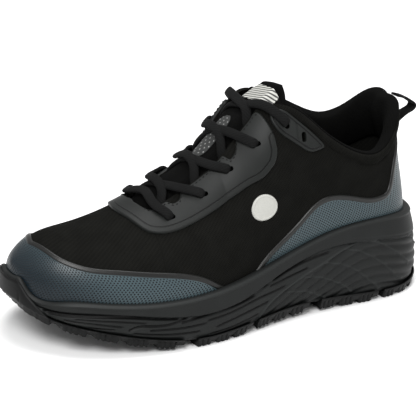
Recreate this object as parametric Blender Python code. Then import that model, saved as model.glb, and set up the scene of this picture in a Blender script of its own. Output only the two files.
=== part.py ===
"""Low lace-up work shoe for the left foot, standing empty on its sole.

Metres, +Z up. The toe points to -X, the outer side of the foot is -Y, and the floor is z = 0 below the
middle of the sole. Every surface is read from two tables, SOLE and UPPER, with one row per section: the
share column says how far along the sole the section stands, 0 at the toe and 1 at the heel.
"""

import math

import bmesh
import bpy
import numpy as np

MM = 0.001

# Sizes of the sole
SOLE_LENGTH = 300 * MM
BALL_WIDTH = 112 * MM
CUP_HEIGHT = 56 * MM
RIM_THICKNESS = 5.0 * MM
EDGE_TUCK = 2.6 * MM
RIM_LAP = 0.6 * MM
GROOVE_DEPTH = 1.5 * MM
BELLY_LEVEL = 0.2
BELLY_POWER = 1.8
MIDDLE = 0.0232

# Sizes of the outsole rubber
PAD_THICKNESS = 2.0 * MM
LUG_HEIGHT = 2.6 * MM
WRAP_THICKNESS = 1.2 * MM
WRAP_GAP = 0.8 * MM
LUG_SLOPE = 0.5 * MM
PAD_LEAD = 0.012
PAD_CURVE = 0.05
BAR_SHARE = 0.66
WRAP_FADE = (0.035, 0.09)

# Sizes of the upper
INSTEP_RISE = 104 * MM
COLLAR_WIDTH = 72 * MM
COLLAR_REACH = 12 * MM
COLLAR_START = 0.62
UPPER_WALL = 2.0 * MM
THROAT_WIDTH = 34 * MM
THROAT_START = 0.287
THROAT_ROUND = 6 * MM
THROAT_STATIONS = THROAT_START + np.array([0, 0.004, 0.02])
THROAT_END = 0.60
CREST_END = 0.46

# Sizes of the pieces on and in the upper
GAP = 0.35 * MM
LAY = 0.9 * MM
LEAST_OVERLAY = 0.002
OVERLAY = 1.0 * MM
EYESTAY = 1.6 * MM
THIN_SHEET = 0.6 * MM
INSOLE = 4.0 * MM
COLLAR_PADDING = 6.2 * MM
PADDING_GAP = 0.85 * MM
PADDING_FRONT = 0.4
PADDING_FULL = (0.64, 0.76)
TONGUE_WIDTH = 58 * MM
TONGUE_PADDING = 5.0 * MM
TONGUE_TIP = 31 * MM
TONGUE_TIP_SLOPE = 31
TONGUE_START = 0.24
TONGUE_END = 0.53
TONGUE_SINK = 0.9 * MM
TONGUE_GAP = 1.15 * MM
TONGUE_ROUND = 7 * MM
TONGUE_ENTRY = 10 * MM
LACE_GAP = 1.2 * MM
LACE_SPREAD = 13 * MM
SLOT_LENGTH = 6.5 * MM
SLOT_WIDTH = 2.8 * MM
LACE_WIDTH = 5.6 * MM
LACE_LAST = 0.555
LACE_THICKNESS = 1.5 * MM
LOOP_WIDTH = 11 * MM
LOOP_THICKNESS = 1.5 * MM
LOOP_REACH = 15 * MM
LABEL_WIDTH = 22 * MM
STRIP_START = 0.98
STRIP_LOW = 0.73
STRIP_HIGH = 0.97
BADGE_SHARE = 0.539
BADGE_UP = 0.388
BADGE_HALF_SHARE = 0.030
BADGE_HALF_UP = 0.070

# Mesh density and tolerances
RING_STATIONS = 29
WALL_ROWS = 8
WELD = 1e-6
STEP = 1e-3


def columns(names, *rows):
    """A table with named columns, one row per section."""
    return dict(zip(names.split(), np.array(rows, float).T))


# Half widths and flare as shares of BALL_WIDTH, heights as shares of CUP_HEIGHT,
# band as the share of the side's height at which the groove under the top band runs
SOLE = columns(
    "share lateral medial flare rim base band",
    (0.00, -0.060, 0.060, 0.010, 0.760, 0.525, 0.60),
    (0.01, 0.079, 0.201, 0.012, 0.757, 0.500, 0.60),
    (0.02, 0.136, 0.254, 0.013, 0.635, 0.470, 0.61),
    (0.03, 0.180, 0.290, 0.015, 0.582, 0.440, 0.61),
    (0.08, 0.325, 0.385, 0.025, 0.594, 0.360, 0.63),
    (0.16, 0.440, 0.445, 0.035, 0.603, 0.258, 0.66),
    (0.26, 0.510, 0.475, 0.040, 0.600, 0.145, 0.60),
    (0.35, 0.530, 0.480, 0.045, 0.630, 0.084, 0.53),
    (0.46, 0.500, 0.430, 0.050, 0.672, 0.100, 0.56),
    (0.58, 0.430, 0.365, 0.055, 0.790, 0.130, 0.72),
    (0.70, 0.395, 0.350, 0.060, 0.935, 0.120, 0.78),
    (0.82, 0.385, 0.370, 0.065, 0.990, 0.084, 0.74),
    (0.92, 0.335, 0.325, 0.065, 0.975, 0.084, 0.69),
    (0.98, 0.190, 0.185, 0.065, 0.945, 0.110, 0.67),
    (1.00, 0.000, 0.000, 0.065, 0.940, 0.130, 0.66),
)

# centre as a share of BALL_WIDTH, bed of CUP_HEIGHT, top of INSTEP_RISE, open of COLLAR_WIDTH,
# tilt added to top on the medial side and taken off on the lateral, angle and lean in degrees,
# rise and reach as shares of the section's height and width
UPPER = columns(
    "share centre bed top tilt open angle rise reach lean",
    (0.00, 0.060, 0.605, 0.125, 0.000, 0.00, 0, 0.60, 0.60, 4),
    (0.03, 0.058, 0.510, 0.270, 0.000, 0.00, 0, 0.62, 0.60, 5),
    (0.08, 0.055, 0.435, 0.383, 0.000, 0.00, 0, 0.64, 0.60, 5),
    (0.16, 0.045, 0.400, 0.435, 0.000, 0.00, 0, 0.64, 0.60, 4),
    (0.26, 0.040, 0.380, 0.518, 0.000, 0.00, 0, 0.58, 0.60, 3),
    (0.36, 0.030, 0.380, 0.648, 0.000, 0.00, 0, 0.54, 0.58, 3),
    (0.46, 0.025, 0.420, 0.824, 0.000, 0.00, 0, 0.50, 0.56, 2),
    (0.53, 0.020, 0.460, 0.992, -0.008, 0.25, 20, 0.46, 0.50, 2),
    (0.585, 0.015, 0.500, 1.053, -0.018, 0.62, 52, 0.44, 0.42, 2),
    (0.63, 0.010, 0.530, 1.026, -0.010, 0.77, 66, 0.40, 0.38, 3),
    (0.70, 0.000, 0.570, 0.888, 0.027, 0.90, 78, 0.36, 0.34, 3),
    (0.78, 0.000, 0.600, 0.743, 0.043, 1.00, 88, 0.34, 0.34, 4),
    (0.85, 0.000, 0.615, 0.681, 0.035, 0.98, 92, 0.34, 0.34, 5),
    (0.91, 0.000, 0.620, 0.730, 0.030, 0.82, 96, 0.36, 0.34, 5),
    (0.97, 0.000, 0.620, 0.848, 0.018, 0.47, 102, 0.38, 0.30, 5),
    (1.00, 0.000, 0.620, 0.874, 0.000, 0.00, 106, 0.38, 0.30, 5),
)

# Rows of the sole's side wall: below counts up to the groove, above from it to the rim,
# recess as a share of GROOVE_DEPTH
WALL = columns(
    "below above recess",
    (0.00, 0.00, 0.5),
    (0.45, 0.00, 0.5),
    (0.90, 0.00, 0.5),
    (1.00, 0.00, 1.0),
    (1.00, 0.14, 0.0),
    (1.00, 0.60, 0.0),
    (1.00, 1.00, 0.0),
)

# Upper edge of each overlay as a share of the section from the bed up
TOE_OVERLAY = columns(
    "share top",
    (0.000, 1.00),
    (0.050, 1.00),
    (0.054, 0.90),
    (0.058, 0.80),
    (0.063, 0.70),
    (0.076, 0.58),
    (0.101, 0.46),
    (0.136, 0.39),
    (0.189, 0.35),
    (0.246, 0.306),
    (0.302, 0.241),
    (0.350, 0.180),
    (0.400, 0.090),
)
HEEL_OVERLAY = columns(
    "share top",
    (0.514, 0.070),
    (0.574, 0.145),
    (0.623, 0.251),
    (0.668, 0.393),
    (0.698, 0.464),
    (0.726, 0.524),
    (0.772, 0.556),
    (0.835, 0.534),
    (0.899, 0.531),
    (0.950, 0.610),
    (0.985, 0.690),
    (1.000, 0.700),
)
EYESTAY_EDGES = columns(
    "share outer inner",
    (0.243, 1.000, 1.00),
    (0.252, 0.825, 1.00),
    (0.265, 0.690, 1.00),
    (0.283, 0.614, 1.00),
    (0.308, 0.568, 1.00),
    (0.334, 0.546, 1.00),
    (0.371, 0.532, 1.00),
    (0.415, 0.522, 1.00),
    (0.458, 0.508, 1.00),
    (0.490, 0.511, 1.00),
    (0.517, 0.526, 1.00),
    (0.542, 0.558, 1.00),
    (0.561, 0.625, 0.97),
    (0.571, 0.675, 0.89),
    (0.577, 0.745, 0.79),
)
TAB_EDGES = columns(
    "share outer inner",
    (0.576, 0.915, 0.92),
    (0.581, 0.862, 0.95),
    (0.592, 0.825, 0.968),
    (0.606, 0.803, 0.966),
    (0.629, 0.780, 0.942),
    (0.650, 0.771, 0.930),
    (0.668, 0.790, 0.922),
    (0.686, 0.835, 0.915),
    (0.700, 0.895, 0.90),
)
# lying is 1 where the slot runs along the shoe and 0 where it runs up the side
EYELETS = columns(
    "share up lying",
    (0.330, 0.652, 1),
    (0.412, 0.656, 1),
    (0.478, 0.668, 1),
    (0.537, 0.755, 1),
    (0.606, 0.893, 0),
    (0.645, 0.850, 0),
)

# Pads of the outsole along the sole, with the number of cross bars on each
PADS = columns(
    "start stop bars",
    (0.000, 0.315, 5),
    (0.345, 0.486, 3),
    (0.502, 0.646, 3),
    (0.678, 0.833, 3),
    (0.850, 1.000, 3),
)
# Rows of a pad from its middle to its edge; channel is 1 where the lengthwise channel runs
PAD_ROWS = columns("across channel", (0.00, 0), (0.42, 0), (0.49, 1), (0.56, 0), (1.00, 0))
# How high the rubber wraps up the side wall: 1 is the rim
WRAP = columns(
    "share level",
    (0.000, 0.96),
    (0.010, 0.96),
    (0.020, 0.92),
    (0.030, 0.74),
    (0.042, 0.36),
    (0.055, 0.07),
    (0.60, 0.07),
    (0.90, 0.04),
    (1.00, 0.04),
)

# Rounded section of the collar padding: up counts along the section, deep in COLLAR_PADDING
COLLAR_RING = columns(
    "up deep",
    (5 / 8, 0.00),
    (6 / 8, 0.00),
    (7 / 8, 0.00),
    (1.00, 0.00),
    (1.03, 0.25),
    (1.03, 0.70),
    (0.99, 1.00),
    (0.88, 1.00),
    (0.76, 0.70),
    (5 / 8, 0.25),
)

# Label and patch: start and end along the tongue, half width as a share of LABEL_WIDTH
LABELS = columns("start end half", (1.34, 1.88, 0.52), (0.68, 0.98, 0.22))

# Tongue: along runs 0 to 1 under the throat and 1 to 2 over its free tip
# wide as a share of TONGUE_WIDTH, thick as a share of TONGUE_PADDING
TONGUE = columns(
    "along wide thick",
    (0.00, 0.78, 0.45),
    (0.12, 0.90, 0.60),
    (0.24, 1.00, 0.90),
    (0.36, 1.00, 1.00),
    (0.47, 1.00, 1.00),
    (0.58, 1.00, 1.00),
    (0.69, 1.00, 1.00),
    (0.79, 1.00, 1.00),
    (0.89, 0.98, 1.00),
    (1.00, 0.94, 1.00),
    (1.25, 0.88, 1.05),
    (1.50, 0.82, 1.10),
    (1.75, 0.74, 1.10),
    (1.92, 0.62, 0.95),
    (2.00, 0.44, 0.60),
)
# Pull loop at the heel seam: up counts along the seam, out in LOOP_REACH
LOOP = columns(
    "up out",
    (0.675, 0.06),
    (0.695, 0.22),
    (0.755, 0.55),
    (0.820, 0.88),
    (0.885, 1.08),
    (0.950, 1.10),
    (1.010, 0.90),
    (1.045, 0.55),
    (1.052, 0.24),
)


def turn(share):
    """Station on the ring for a share of the length; stations lie closer at the toe and the heel."""
    return np.arccos(1 - 2 * np.clip(share, 0, 1)) / math.pi


def share_of(around):
    return (1 - np.cos(math.pi * np.asarray(around, float))) / 2


def spline(knots, values, at):
    """Natural cubic spline through the knots."""
    count = len(knots)
    gap = np.diff(knots)
    system = np.eye(count)
    right = np.zeros(count)
    for i in range(1, count - 1):
        system[i, i - 1 : i + 2] = gap[i - 1], 2 * (gap[i - 1] + gap[i]), gap[i]
        right[i] = 6 * ((values[i + 1] - values[i]) / gap[i] - (values[i] - values[i - 1]) / gap[i - 1])
    bend = np.linalg.solve(system, right)
    i = np.clip(np.searchsorted(knots, at, side="right") - 1, 0, count - 2)
    after, before, width = knots[i + 1] - at, at - knots[i], gap[i]
    return (
        (bend[i] * after**3 + bend[i + 1] * before**3) / (6 * width)
        + (values[i] / width - bend[i] * width / 6) * after
        + (values[i + 1] / width - bend[i + 1] * width / 6) * before
    )


def read(table, column, around):
    """A column of a table, smoothly between its rows."""
    return spline(turn(table["share"]), table[column], np.asarray(around, float))


def edge_of(table, column, around):
    """A column of a table, straight between its rows."""
    return np.interp(share_of(around), table["share"], table[column])


def side_name(side):
    return "medial" if side > 0 else "lateral"


def outline(around, side, inset=0.0):
    """Plan point of the sole's outline and its outward direction; side is -1 lateral, +1 medial."""

    def point(a):
        x = -SOLE_LENGTH * np.cos(math.pi * a) / 2
        y = BALL_WIDTH * (MIDDLE + side * read(SOLE, side_name(side), a))
        return np.stack([x, y], -1)

    a = np.asarray(around, float)
    along = point(np.clip(a + STEP, 0, 1)) - point(np.clip(a - STEP, 0, 1))
    out = np.stack([-along[..., 1], along[..., 0]], -1) * side
    out = out / np.linalg.norm(out, axis=-1, keepdims=True)
    ends = ((a <= 0) | (a >= 1))[..., None]
    out = np.where(ends, np.stack([np.sign(a - 0.5), 0 * a], -1), out)
    return point(a) - (np.asarray(inset) + 0 * a)[..., None] * out, out


def smooth(value, start, stop):
    """0 before start, 1 after stop, without a corner between."""
    w = np.clip((value - start) / (stop - start), 0, 1)
    return w * w * (3 - 2 * w)


def middle_of(around):
    """Y of the upper's middle line."""
    return BALL_WIDTH * (MIDDLE + read(UPPER, "centre", around))


def section(around, up, side):
    """Point on the outside of the closed upper: up is 0 at the bed and 1 at the crest or the collar."""
    around, up = np.broadcast_arrays(np.asarray(around, float), np.asarray(up, float))
    inset = BALL_WIDTH * read(SOLE, "flare", around) + RIM_THICKNESS
    plan, out = outline(around, side, inset)
    floor = CUP_HEIGHT * read(UPPER, "bed", around)
    opened = around > turn(CREST_END)
    toe_inset = BALL_WIDTH * SOLE["flare"][0] + RIM_THICKNESS
    heel_inset = BALL_WIDTH * SOLE["flare"][-1] + RIM_THICKNESS
    top_x = toe_inset - SOLE_LENGTH / 2 + (SOLE_LENGTH - toe_inset - heel_inset) * share_of(around)
    top_x = top_x - COLLAR_REACH * np.clip((around - COLLAR_START) / (1 - COLLAR_START), 0, 1) ** 2
    half_open = COLLAR_WIDTH / 2 * np.maximum(read(UPPER, "open", around), 0) * opened
    top_y = middle_of(around) + side * half_open
    top_z = floor + INSTEP_RISE * (read(UPPER, "top", around) + side * opened * read(UPPER, "tilt", around))
    arrive = np.radians(np.maximum(read(UPPER, "angle", around), 0) * opened)
    lean = np.radians(read(UPPER, "lean", around))
    heel = smooth(around, 0.6, 0.95)
    inward = np.stack([-heel * out[..., 0], -(1 - heel) * side - heel * out[..., 1]], -1)
    inward = inward / np.linalg.norm(inward, axis=-1, keepdims=True)
    high = top_z - floor
    wide = np.hypot(top_x - plan[..., 0], top_y - plan[..., 1])
    first = read(UPPER, "rise", around) * high
    last = read(UPPER, "reach", around) * (wide * np.abs(np.cos(arrive)) + high * np.abs(np.sin(arrive)))
    start = np.stack([plan[..., 0], plan[..., 1], floor], -1)
    stop = np.stack([top_x, top_y, top_z], -1)
    leave = np.stack([out[..., 0] * np.sin(lean), out[..., 1] * np.sin(lean), np.cos(lean)], -1)
    reach = np.stack([inward[..., 0] * np.cos(arrive), inward[..., 1] * np.cos(arrive), np.sin(arrive)], -1)
    near = start + first[..., None] * leave
    far = stop - last[..., None] * reach
    q = up[..., None]
    return (1 - q) ** 3 * start + 3 * q * (1 - q) ** 2 * near + 3 * q * q * (1 - q) * far + q**3 * stop


def solve_up(around, side, passed):
    """The share of the section at which passed(point) first becomes true going up."""
    around = np.asarray(around, float)
    low, high = np.zeros_like(around), np.ones_like(around)
    for _ in range(26):
        middle = (low + high) / 2
        done = passed(section(around, middle, side))
        low, high = np.where(done, low, middle), np.where(done, middle, high)
    return high


def edge(around, side):
    """The share of the section at which the throat or the collar cuts it."""
    around = np.asarray(around, float)
    x = -SOLE_LENGTH * np.cos(math.pi * around) / 2
    run = np.clip((x - SOLE_LENGTH * (THROAT_START - 0.5)) / THROAT_ROUND, 0, 1)
    half = THROAT_WIDTH / 2 * np.sqrt(1 - (1 - run) ** 2)
    cut = solve_up(around, side, lambda p: side * (p[..., 1] - middle_of(around)) <= half)
    return np.where((half > 0) & (around < turn(THROAT_END)), cut, 1.0)


def rim_up(around, side, above=0.0):
    """The share of the section at which it leaves the cup of the sole."""
    rim = CUP_HEIGHT * read(SOLE, "rim", around) + above
    return solve_up(around, side, lambda p: p[..., 2] >= rim)


def facing(around, up, side):
    """Outward direction of the closed upper."""
    a = np.clip(around, 2 * STEP, 1)
    along = section(np.clip(a + STEP, 0, 1), up, side) - section(np.clip(a - STEP, 0, 1), up, side)
    rising = section(a, up + STEP, side) - section(a, up - STEP, side)
    out = np.cross(rising, along) * side
    return out / np.linalg.norm(out, axis=-1, keepdims=True)


def lifted(around, up, side, height):
    """Point of the closed upper moved outwards by height."""
    around, up = np.broadcast_arrays(np.asarray(around, float), np.asarray(up, float))
    out = facing(around, up, side)
    seam = (around >= 1) | ((up >= 1) & (around <= turn(THROAT_START)))
    out = np.where(seam[..., None], out + facing(around, up, -side), out)
    out = np.where((around <= 0)[..., None], [-1.0, 0.0, 0.0], out)
    out = out / np.linalg.norm(out, axis=-1, keepdims=True)
    return section(around, up, side) + np.asarray(height)[..., None] * out


def quads(rows, stations, start, flip):
    """Faces of a grid whose points are listed station by station."""
    i = np.arange(stations - 1)[:, None] * rows
    j = np.arange(rows - 1)[None, :]
    corner = (start + i + j).ravel()
    faces = np.stack([corner, corner + rows, corner + rows + 1, corner + 1], -1)
    return faces[:, ::-1] if flip else faces


def add_object(name, points, faces, finish):
    mesh = bpy.data.meshes.new(name)
    mesh.from_pydata(points.tolist(), [], [list(map(int, face)) for face in faces])
    mesh.validate()
    mesh.materials.append(finish)
    obj = bpy.data.objects.new(name, mesh)
    bpy.context.scene.collection.objects.link(obj)
    return obj


def slab(name, grids, finish):
    """Closed body between two skins. Each grid is (inside, outside, flip), point rows by station."""
    inside, outside, faces, start = [], [], [], 0
    for low, high, flip in grids:
        stations, rows = low.shape[:2]
        inside.append(low.reshape(-1, 3))
        outside.append(high.reshape(-1, 3))
        faces.append(quads(rows, stations, start, flip))
        start += stations * rows
    inside, outside, faces = np.concatenate(inside), np.concatenate(outside), np.concatenate(faces)
    key = np.round(np.hstack([inside, outside]) / WELD).astype(np.int64)
    _, first, index = np.unique(key, axis=0, return_index=True, return_inverse=True)
    inside, outside = inside[first], outside[first]
    index = index.reshape(-1)
    skin = []
    for face in index[faces]:
        ring = [int(v) for k, v in enumerate(face) if v != face[k - 1]]
        if len(set(ring)) == len(ring) >= 3:
            skin.append(ring)
    sides = {(ring[k - 1], ring[k]) for ring in skin for k in range(len(ring))}
    count = len(first)
    shell = [[v + count for v in ring] for ring in skin] + [ring[::-1] for ring in skin]
    shell += [[a, b, b + count, a + count] for a, b in sorted(sides) if (b, a) not in sides]
    return add_object(name, np.vstack([inside, outside]), shell, finish)


def tube(name, rings, finish):
    """Closed body along a row of equal rings, with flat ends."""
    count, size = rings.shape[:2]
    faces = [list(range(size))[::-1], list(range((count - 1) * size, count * size))]
    for i in range(count - 1):
        for j in range(size):
            k = (j + 1) % size
            faces.append([i * size + j, i * size + k, (i + 1) * size + k, (i + 1) * size + j])
    obj = add_object(name, rings.reshape(-1, 3), faces, finish)
    shape = bmesh.new()
    shape.from_mesh(obj.data)
    bmesh.ops.recalc_face_normals(shape, faces=shape.faces)
    shape.to_mesh(obj.data)
    shape.free()
    return obj


def ribbon(name, path, out, width, thickness, finish):
    """Flat cord along a path; out points away from the shoe along it."""
    along = np.gradient(path, axis=0)
    along /= np.linalg.norm(along, axis=1, keepdims=True)
    across = np.cross(along, out)
    across /= np.linalg.norm(across, axis=1, keepdims=True)
    out = np.cross(across, along)
    ring = [(-0.5, 0), (-0.36, -0.5), (0.36, -0.5), (0.5, 0), (0.36, 0.5), (-0.36, 0.5)]
    rings = [path + a * width * across + b * thickness * out for a, b in ring]
    return tube(name, np.stack(rings, 1), finish)


def material(name, colour, roughness):
    made = bpy.data.materials.new(name)
    made.use_nodes = True
    shader = made.node_tree.nodes["Principled BSDF"]
    shader.inputs["Base Color"].default_value = (*colour, 1)
    shader.inputs["Roughness"].default_value = roughness
    made.diffuse_color = (*colour, 1)
    return made


def sole_wall(around, below, above, side, out):
    """Point of the sole's side wall, out metres outside it."""
    band = read(SOLE, "band", around)
    level = band * below + (1 - band) * above
    belly = np.clip((level - BELLY_LEVEL) / (1 - BELLY_LEVEL), 0, 1) ** BELLY_POWER
    tuck = np.clip((BELLY_LEVEL - level) / BELLY_LEVEL, 0, 1) ** 2
    toe = (WRAP_THICKNESS + WRAP_GAP) * (1 - smooth(share_of(around), *WRAP_FADE))
    inset = BALL_WIDTH * read(SOLE, "flare", around) * belly + EDGE_TUCK * tuck + toe - out
    plan, _ = outline(around, side, inset)
    base = CUP_HEIGHT * read(SOLE, "base", around)
    rim = CUP_HEIGHT * read(SOLE, "rim", around)
    return np.concatenate([plan, (base + (rim - base) * level)[..., None]], -1)


def to_middle(edge_points, share, other_points):
    """Points between the middle of a strip and its edge; share is 0 in the middle."""
    middle = (edge_points + other_points) / 2
    return middle + share * (edge_points - middle)


def ring_stations():
    return np.linspace(0, 1, RING_STATIONS)


def midsole(finish):
    around = ring_stations()
    grids = []
    for side in (-1, 1):
        outer, inner = [], []
        bottom = sole_wall(around, 0, 0, side, -GROOVE_DEPTH / 2)
        other = sole_wall(around, 0, 0, -side, -GROOVE_DEPTH / 2)
        bed = lifted(around, 0, side, GAP)
        far_bed = lifted(around, 0, -side, GAP)
        drop = np.array([0, 0, GAP])
        for share in (0.0, 0.55):
            outer.append(to_middle(bottom, share, other))
            inner.append(to_middle(bed, share, far_bed) - drop)
        top = rim_up(around, side)
        for i, (below, above, recess) in enumerate(zip(*WALL.values())):
            outer.append(sole_wall(around, below, above, side, -recess * GROOVE_DEPTH))
            part = i / (len(WALL["below"]) - 1)
            inner.append(lifted(around, top * part, side, GAP) - drop * (1 - part))
        rim = CUP_HEIGHT * read(SOLE, "rim", around)
        inner[-1][:, 2] = rim
        grids.append((np.stack(inner, 1), np.stack(outer, 1), side > 0))
    return slab("midsole", grids, finish)


def pad_stations(start, stop, bars):
    """Stations of a pad and how far the rubber stands out at each, with two at each flank of a bar."""
    slope = LUG_SLOPE / SOLE_LENGTH
    toe, heel = start <= 0, stop >= 1
    first = start + PAD_LEAD * toe
    last = stop - PAD_LEAD * heel
    pitch = (last - first) / bars
    lead = PAD_LEAD * np.array([0.07, 0.3, 0.6])
    marks = [(start, 0)] + [(share, 0) for share in lead] + [(first - slope, 0)] if toe else []
    for bar in range(int(bars)):
        left = first + bar * pitch
        right = left + pitch * BAR_SHARE
        marks += [(left, 1), (right, 1), (right + slope, 0), (left + pitch - slope, 0)]
        if left < 2 * PAD_CURVE or right > 1 - 2 * PAD_CURVE:
            marks += [(left + pitch * BAR_SHARE * part, 1) for part in (1 / 3, 2 / 3)]
    marks += [(1 - share, 0) for share in lead] + [(stop, 0)] if heel else []
    marks = sorted(marks)
    at = np.array([turn(share) for share, _ in marks])
    return at, np.array([lug for _, lug in marks], float)


def outsole(name, start, stop, bars, finish):
    around, lug = pad_stations(start, stop, bars)
    grids = []
    for side in (-1, 1):
        outer, inner = [], []
        reach = PAD_THICKNESS / 2
        top = sole_wall(around, 0, 0, side, 0.0)
        far_top = sole_wall(around, 0, 0, -side, 0.0)
        bottom = sole_wall(around, 0, 0, side, reach)
        far_bottom = sole_wall(around, 0, 0, -side, reach)
        down = np.array([0, 0, 1.0])
        for share, channel in zip(*PAD_ROWS.values()):
            inner.append(to_middle(top, share, far_top) - GAP * down)
            low = to_middle(bottom, share, far_bottom)
            depth = PAD_THICKNESS + LUG_HEIGHT * lug * (1 - channel)
            low[:, 2] = np.maximum(low[:, 2] - GAP - depth, 0)
            outer.append(low)
        wrap = edge_of(WRAP, "level", around)
        band = read(SOLE, "band", around)
        for part in (0.0, 0.5, 1.0) if start <= 0 else (1.0,):
            level = wrap * part
            below = np.minimum(level / band, 1)
            above = np.clip((level - band) / (1 - band), 0, 1)
            inner.append(sole_wall(around, below, above, side, WRAP_GAP))
            outer.append(sole_wall(around, below, above, side, WRAP_GAP + WRAP_THICKNESS))
        grids.append((np.stack(inner, 1), np.stack(outer, 1), side > 0))
    return slab(name, grids, finish)


def upper(finish):
    around = ring_stations()
    around = np.sort(np.append(around, turn(THROAT_STATIONS)))
    grids = []
    for side in (-1, 1):
        up = np.linspace(0, 1, WALL_ROWS + 1)[None, :] * edge(around, side)[:, None]
        at = around[:, None]
        grids.append((lifted(at, up, side, -UPPER_WALL), section(at, up, side), side > 0))
    return slab("upper", grids, finish)


def patch(name, sides, around, low, high, rows, lift, thickness, finish):
    """Overlay on the upper between two edges; low and high give the share of the section for each side."""
    grids = []
    for side in sides:
        bottom, top = low(around, side), high(around, side)
        part = np.linspace(0, 1, rows + 1)[None, :]
        up = bottom[:, None] * (1 - part) + top[:, None] * part
        at = around[:, None]
        grids.append((lifted(at, up, side, lift), lifted(at, up, side, lift + thickness), side > 0))
    return slab(name, grids, finish)


def within(first, last, more=()):
    """Ring stations between two shares of the length, with both ends."""
    ring = ring_stations()
    inside = ring[(ring > turn(first) + 0.01) & (ring < turn(last) - 0.01)]
    return np.unique(np.concatenate([[turn(first)], inside, [turn(last)], turn(np.array(more))]))


def overlays(dark, grey):
    rim = lambda around, side: rim_up(around, side, RIM_LAP)
    pieces = (("toe_overlay", TOE_OVERLAY, TOE_OVERLAY["share"][2:5]), ("heel_overlay", HEEL_OVERLAY, ()))
    for name, table, more in pieces:
        shares = table["share"]
        around = within(shares[0], shares[-1], more)
        top = lambda a, side, t=table: np.maximum(edge_of(t, "top", a), rim(a, side) + LEAST_OVERLAY)
        patch(name, (-1, 1), around, rim, top, 4, LAY, OVERLAY, grey)
    shares = EYESTAY_EDGES["share"]
    around = within(shares[0], shares[-1], (*shares[1:3], *THROAT_STATIONS, shares[-2]))
    outer = lambda a, side: edge_of(EYESTAY_EDGES, "outer", a)
    inner = lambda a, side: edge(a, side) * edge_of(EYESTAY_EDGES, "inner", a)
    patch("eyestay", (-1, 1), around, outer, inner, 3, LAY, EYESTAY, dark)
    for side in (-1, 1):
        around = turn(TAB_EDGES["share"])
        low = lambda a, s: edge_of(TAB_EDGES, "outer", a)
        high = lambda a, s: edge_of(TAB_EDGES, "inner", a)
        patch(f"eyelet_tab_{side_name(side)}", (side,), around, low, high, 2, LAY, EYESTAY, dark)


def insole(finish):
    around = ring_stations()[::2]
    grids = []
    for side in (-1, 1):
        edge_points = lifted(around, 0, side, -UPPER_WALL - 2 * MM)
        far_points = lifted(around, 0, -side, -UPPER_WALL - 2 * MM)
        edge_points[:, 2] = far_points[:, 2] = CUP_HEIGHT * read(UPPER, "bed", around)
        low = np.stack([to_middle(edge_points, share, far_points) for share in (0, 0.5, 1)], 1)
        grids.append((low + [0, 0, INSOLE], low, side > 0))
    return slab("insole", grids, finish)


def collar_padding(finish):
    ring = ring_stations()
    ring = ring[ring > turn(COLLAR_START)]
    rings = []
    for side, stations in ((-1, ring), (1, ring[-2::-1])):
        for a in stations:
            taper = PADDING_FRONT + (1 - PADDING_FRONT) * float(smooth(share_of(a), *PADDING_FULL))
            depth = UPPER_WALL + PADDING_GAP + COLLAR_PADDING * taper * COLLAR_RING["deep"]
            rings.append(lifted(a, COLLAR_RING["up"], side, -depth))
    return tube("collar_padding", np.array(rings), finish)


def tongue_base(along, wide):
    """Points on the arch that closes the throat, at signed widths from its middle line."""
    along, wide = np.broadcast_arrays(np.asarray(along, float), np.asarray(wide, float))
    up = np.linspace(0.4, 1, 60)
    slope = math.radians(TONGUE_TIP_SLOPE)
    forward = np.array([math.cos(slope), 0, math.sin(slope)]) * TONGUE_TIP
    points = np.empty(along.shape + (3,))
    for value in np.unique(along):
        share = TONGUE_START + (TONGUE_END - TONGUE_START) * min(value, 1)
        near, far = section(turn(share), up, -1), section(turn(share), up, 1)[::-1]
        arch = np.concatenate([near, far])
        run = np.concatenate([[0], np.cumsum(np.linalg.norm(np.diff(arch, axis=0), axis=1))])
        middle = (run[len(up) - 1] + run[len(up)]) / 2
        here = along == value
        at = middle + wide[here]
        found = np.stack([np.interp(at, run, arch[:, k]) for k in range(3)], -1)
        points[here] = found + max(value - 1, 0) * forward
    return points


def tongue_skin(along, wide, lift):
    """Point on top of the tongue, raised by lift; the tongue swells up between the eyestay's edges."""
    along, wide = np.broadcast_arrays(np.asarray(along, float), np.asarray(wide, float))
    step = 1 * MM
    by_along = tongue_base(along + 0.02, wide) - tongue_base(along - 0.02, wide)
    by_width = tongue_base(along, wide + step) - tongue_base(along, wide - step)
    out = np.cross(by_along, by_width)
    out /= np.linalg.norm(out, axis=-1, keepdims=True)
    base = tongue_base(along, wide)
    start = SOLE_LENGTH * (THROAT_START - 0.5)
    inside = smooth(THROAT_WIDTH / 2 - np.abs(wide), TONGUE_ROUND / 14, TONGUE_ROUND)
    inside = inside * smooth(base[..., 0] - start, TONGUE_ENTRY / 5, TONGUE_ENTRY)
    under = -(UPPER_WALL + TONGUE_GAP)
    height = under + (-TONGUE_SINK - under) * inside + lift
    return base + height[..., None] * out


def along_of(share):
    """Place along the tongue below a share of the sole's length."""
    tip = SOLE_LENGTH * (share - TONGUE_END) / (TONGUE_TIP * math.cos(math.radians(TONGUE_TIP_SLOPE)))
    return (share - TONGUE_START) / (TONGUE_END - TONGUE_START) if share < TONGUE_END else 1 + tip


def tongue(padding, label):
    along = TONGUE["along"][:, None]
    across = np.linspace(-1, 1, 9)[None, :]
    wide = across * TONGUE["wide"][:, None] * TONGUE_WIDTH / 2
    thick = TONGUE_PADDING * TONGUE["thick"][:, None] * (1 - 0.6 * across**4)
    top, low = tongue_skin(along, wide, 0.0), tongue_skin(along, wide, -thick)
    slab("tongue", [(low, top, False)], padding)
    for name, start, end, half in zip(("tongue_label", "tongue_patch"), *LABELS.values()):
        along = np.linspace(start, end, 4)[:, None]
        wide = np.linspace(-half, half, 5)[None, :] * LABEL_WIDTH
        low = tongue_skin(along, wide, 2 * GAP)
        slab(name, [(low, tongue_skin(along, wide, 2 * GAP + THIN_SHEET), False)], label)


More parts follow.
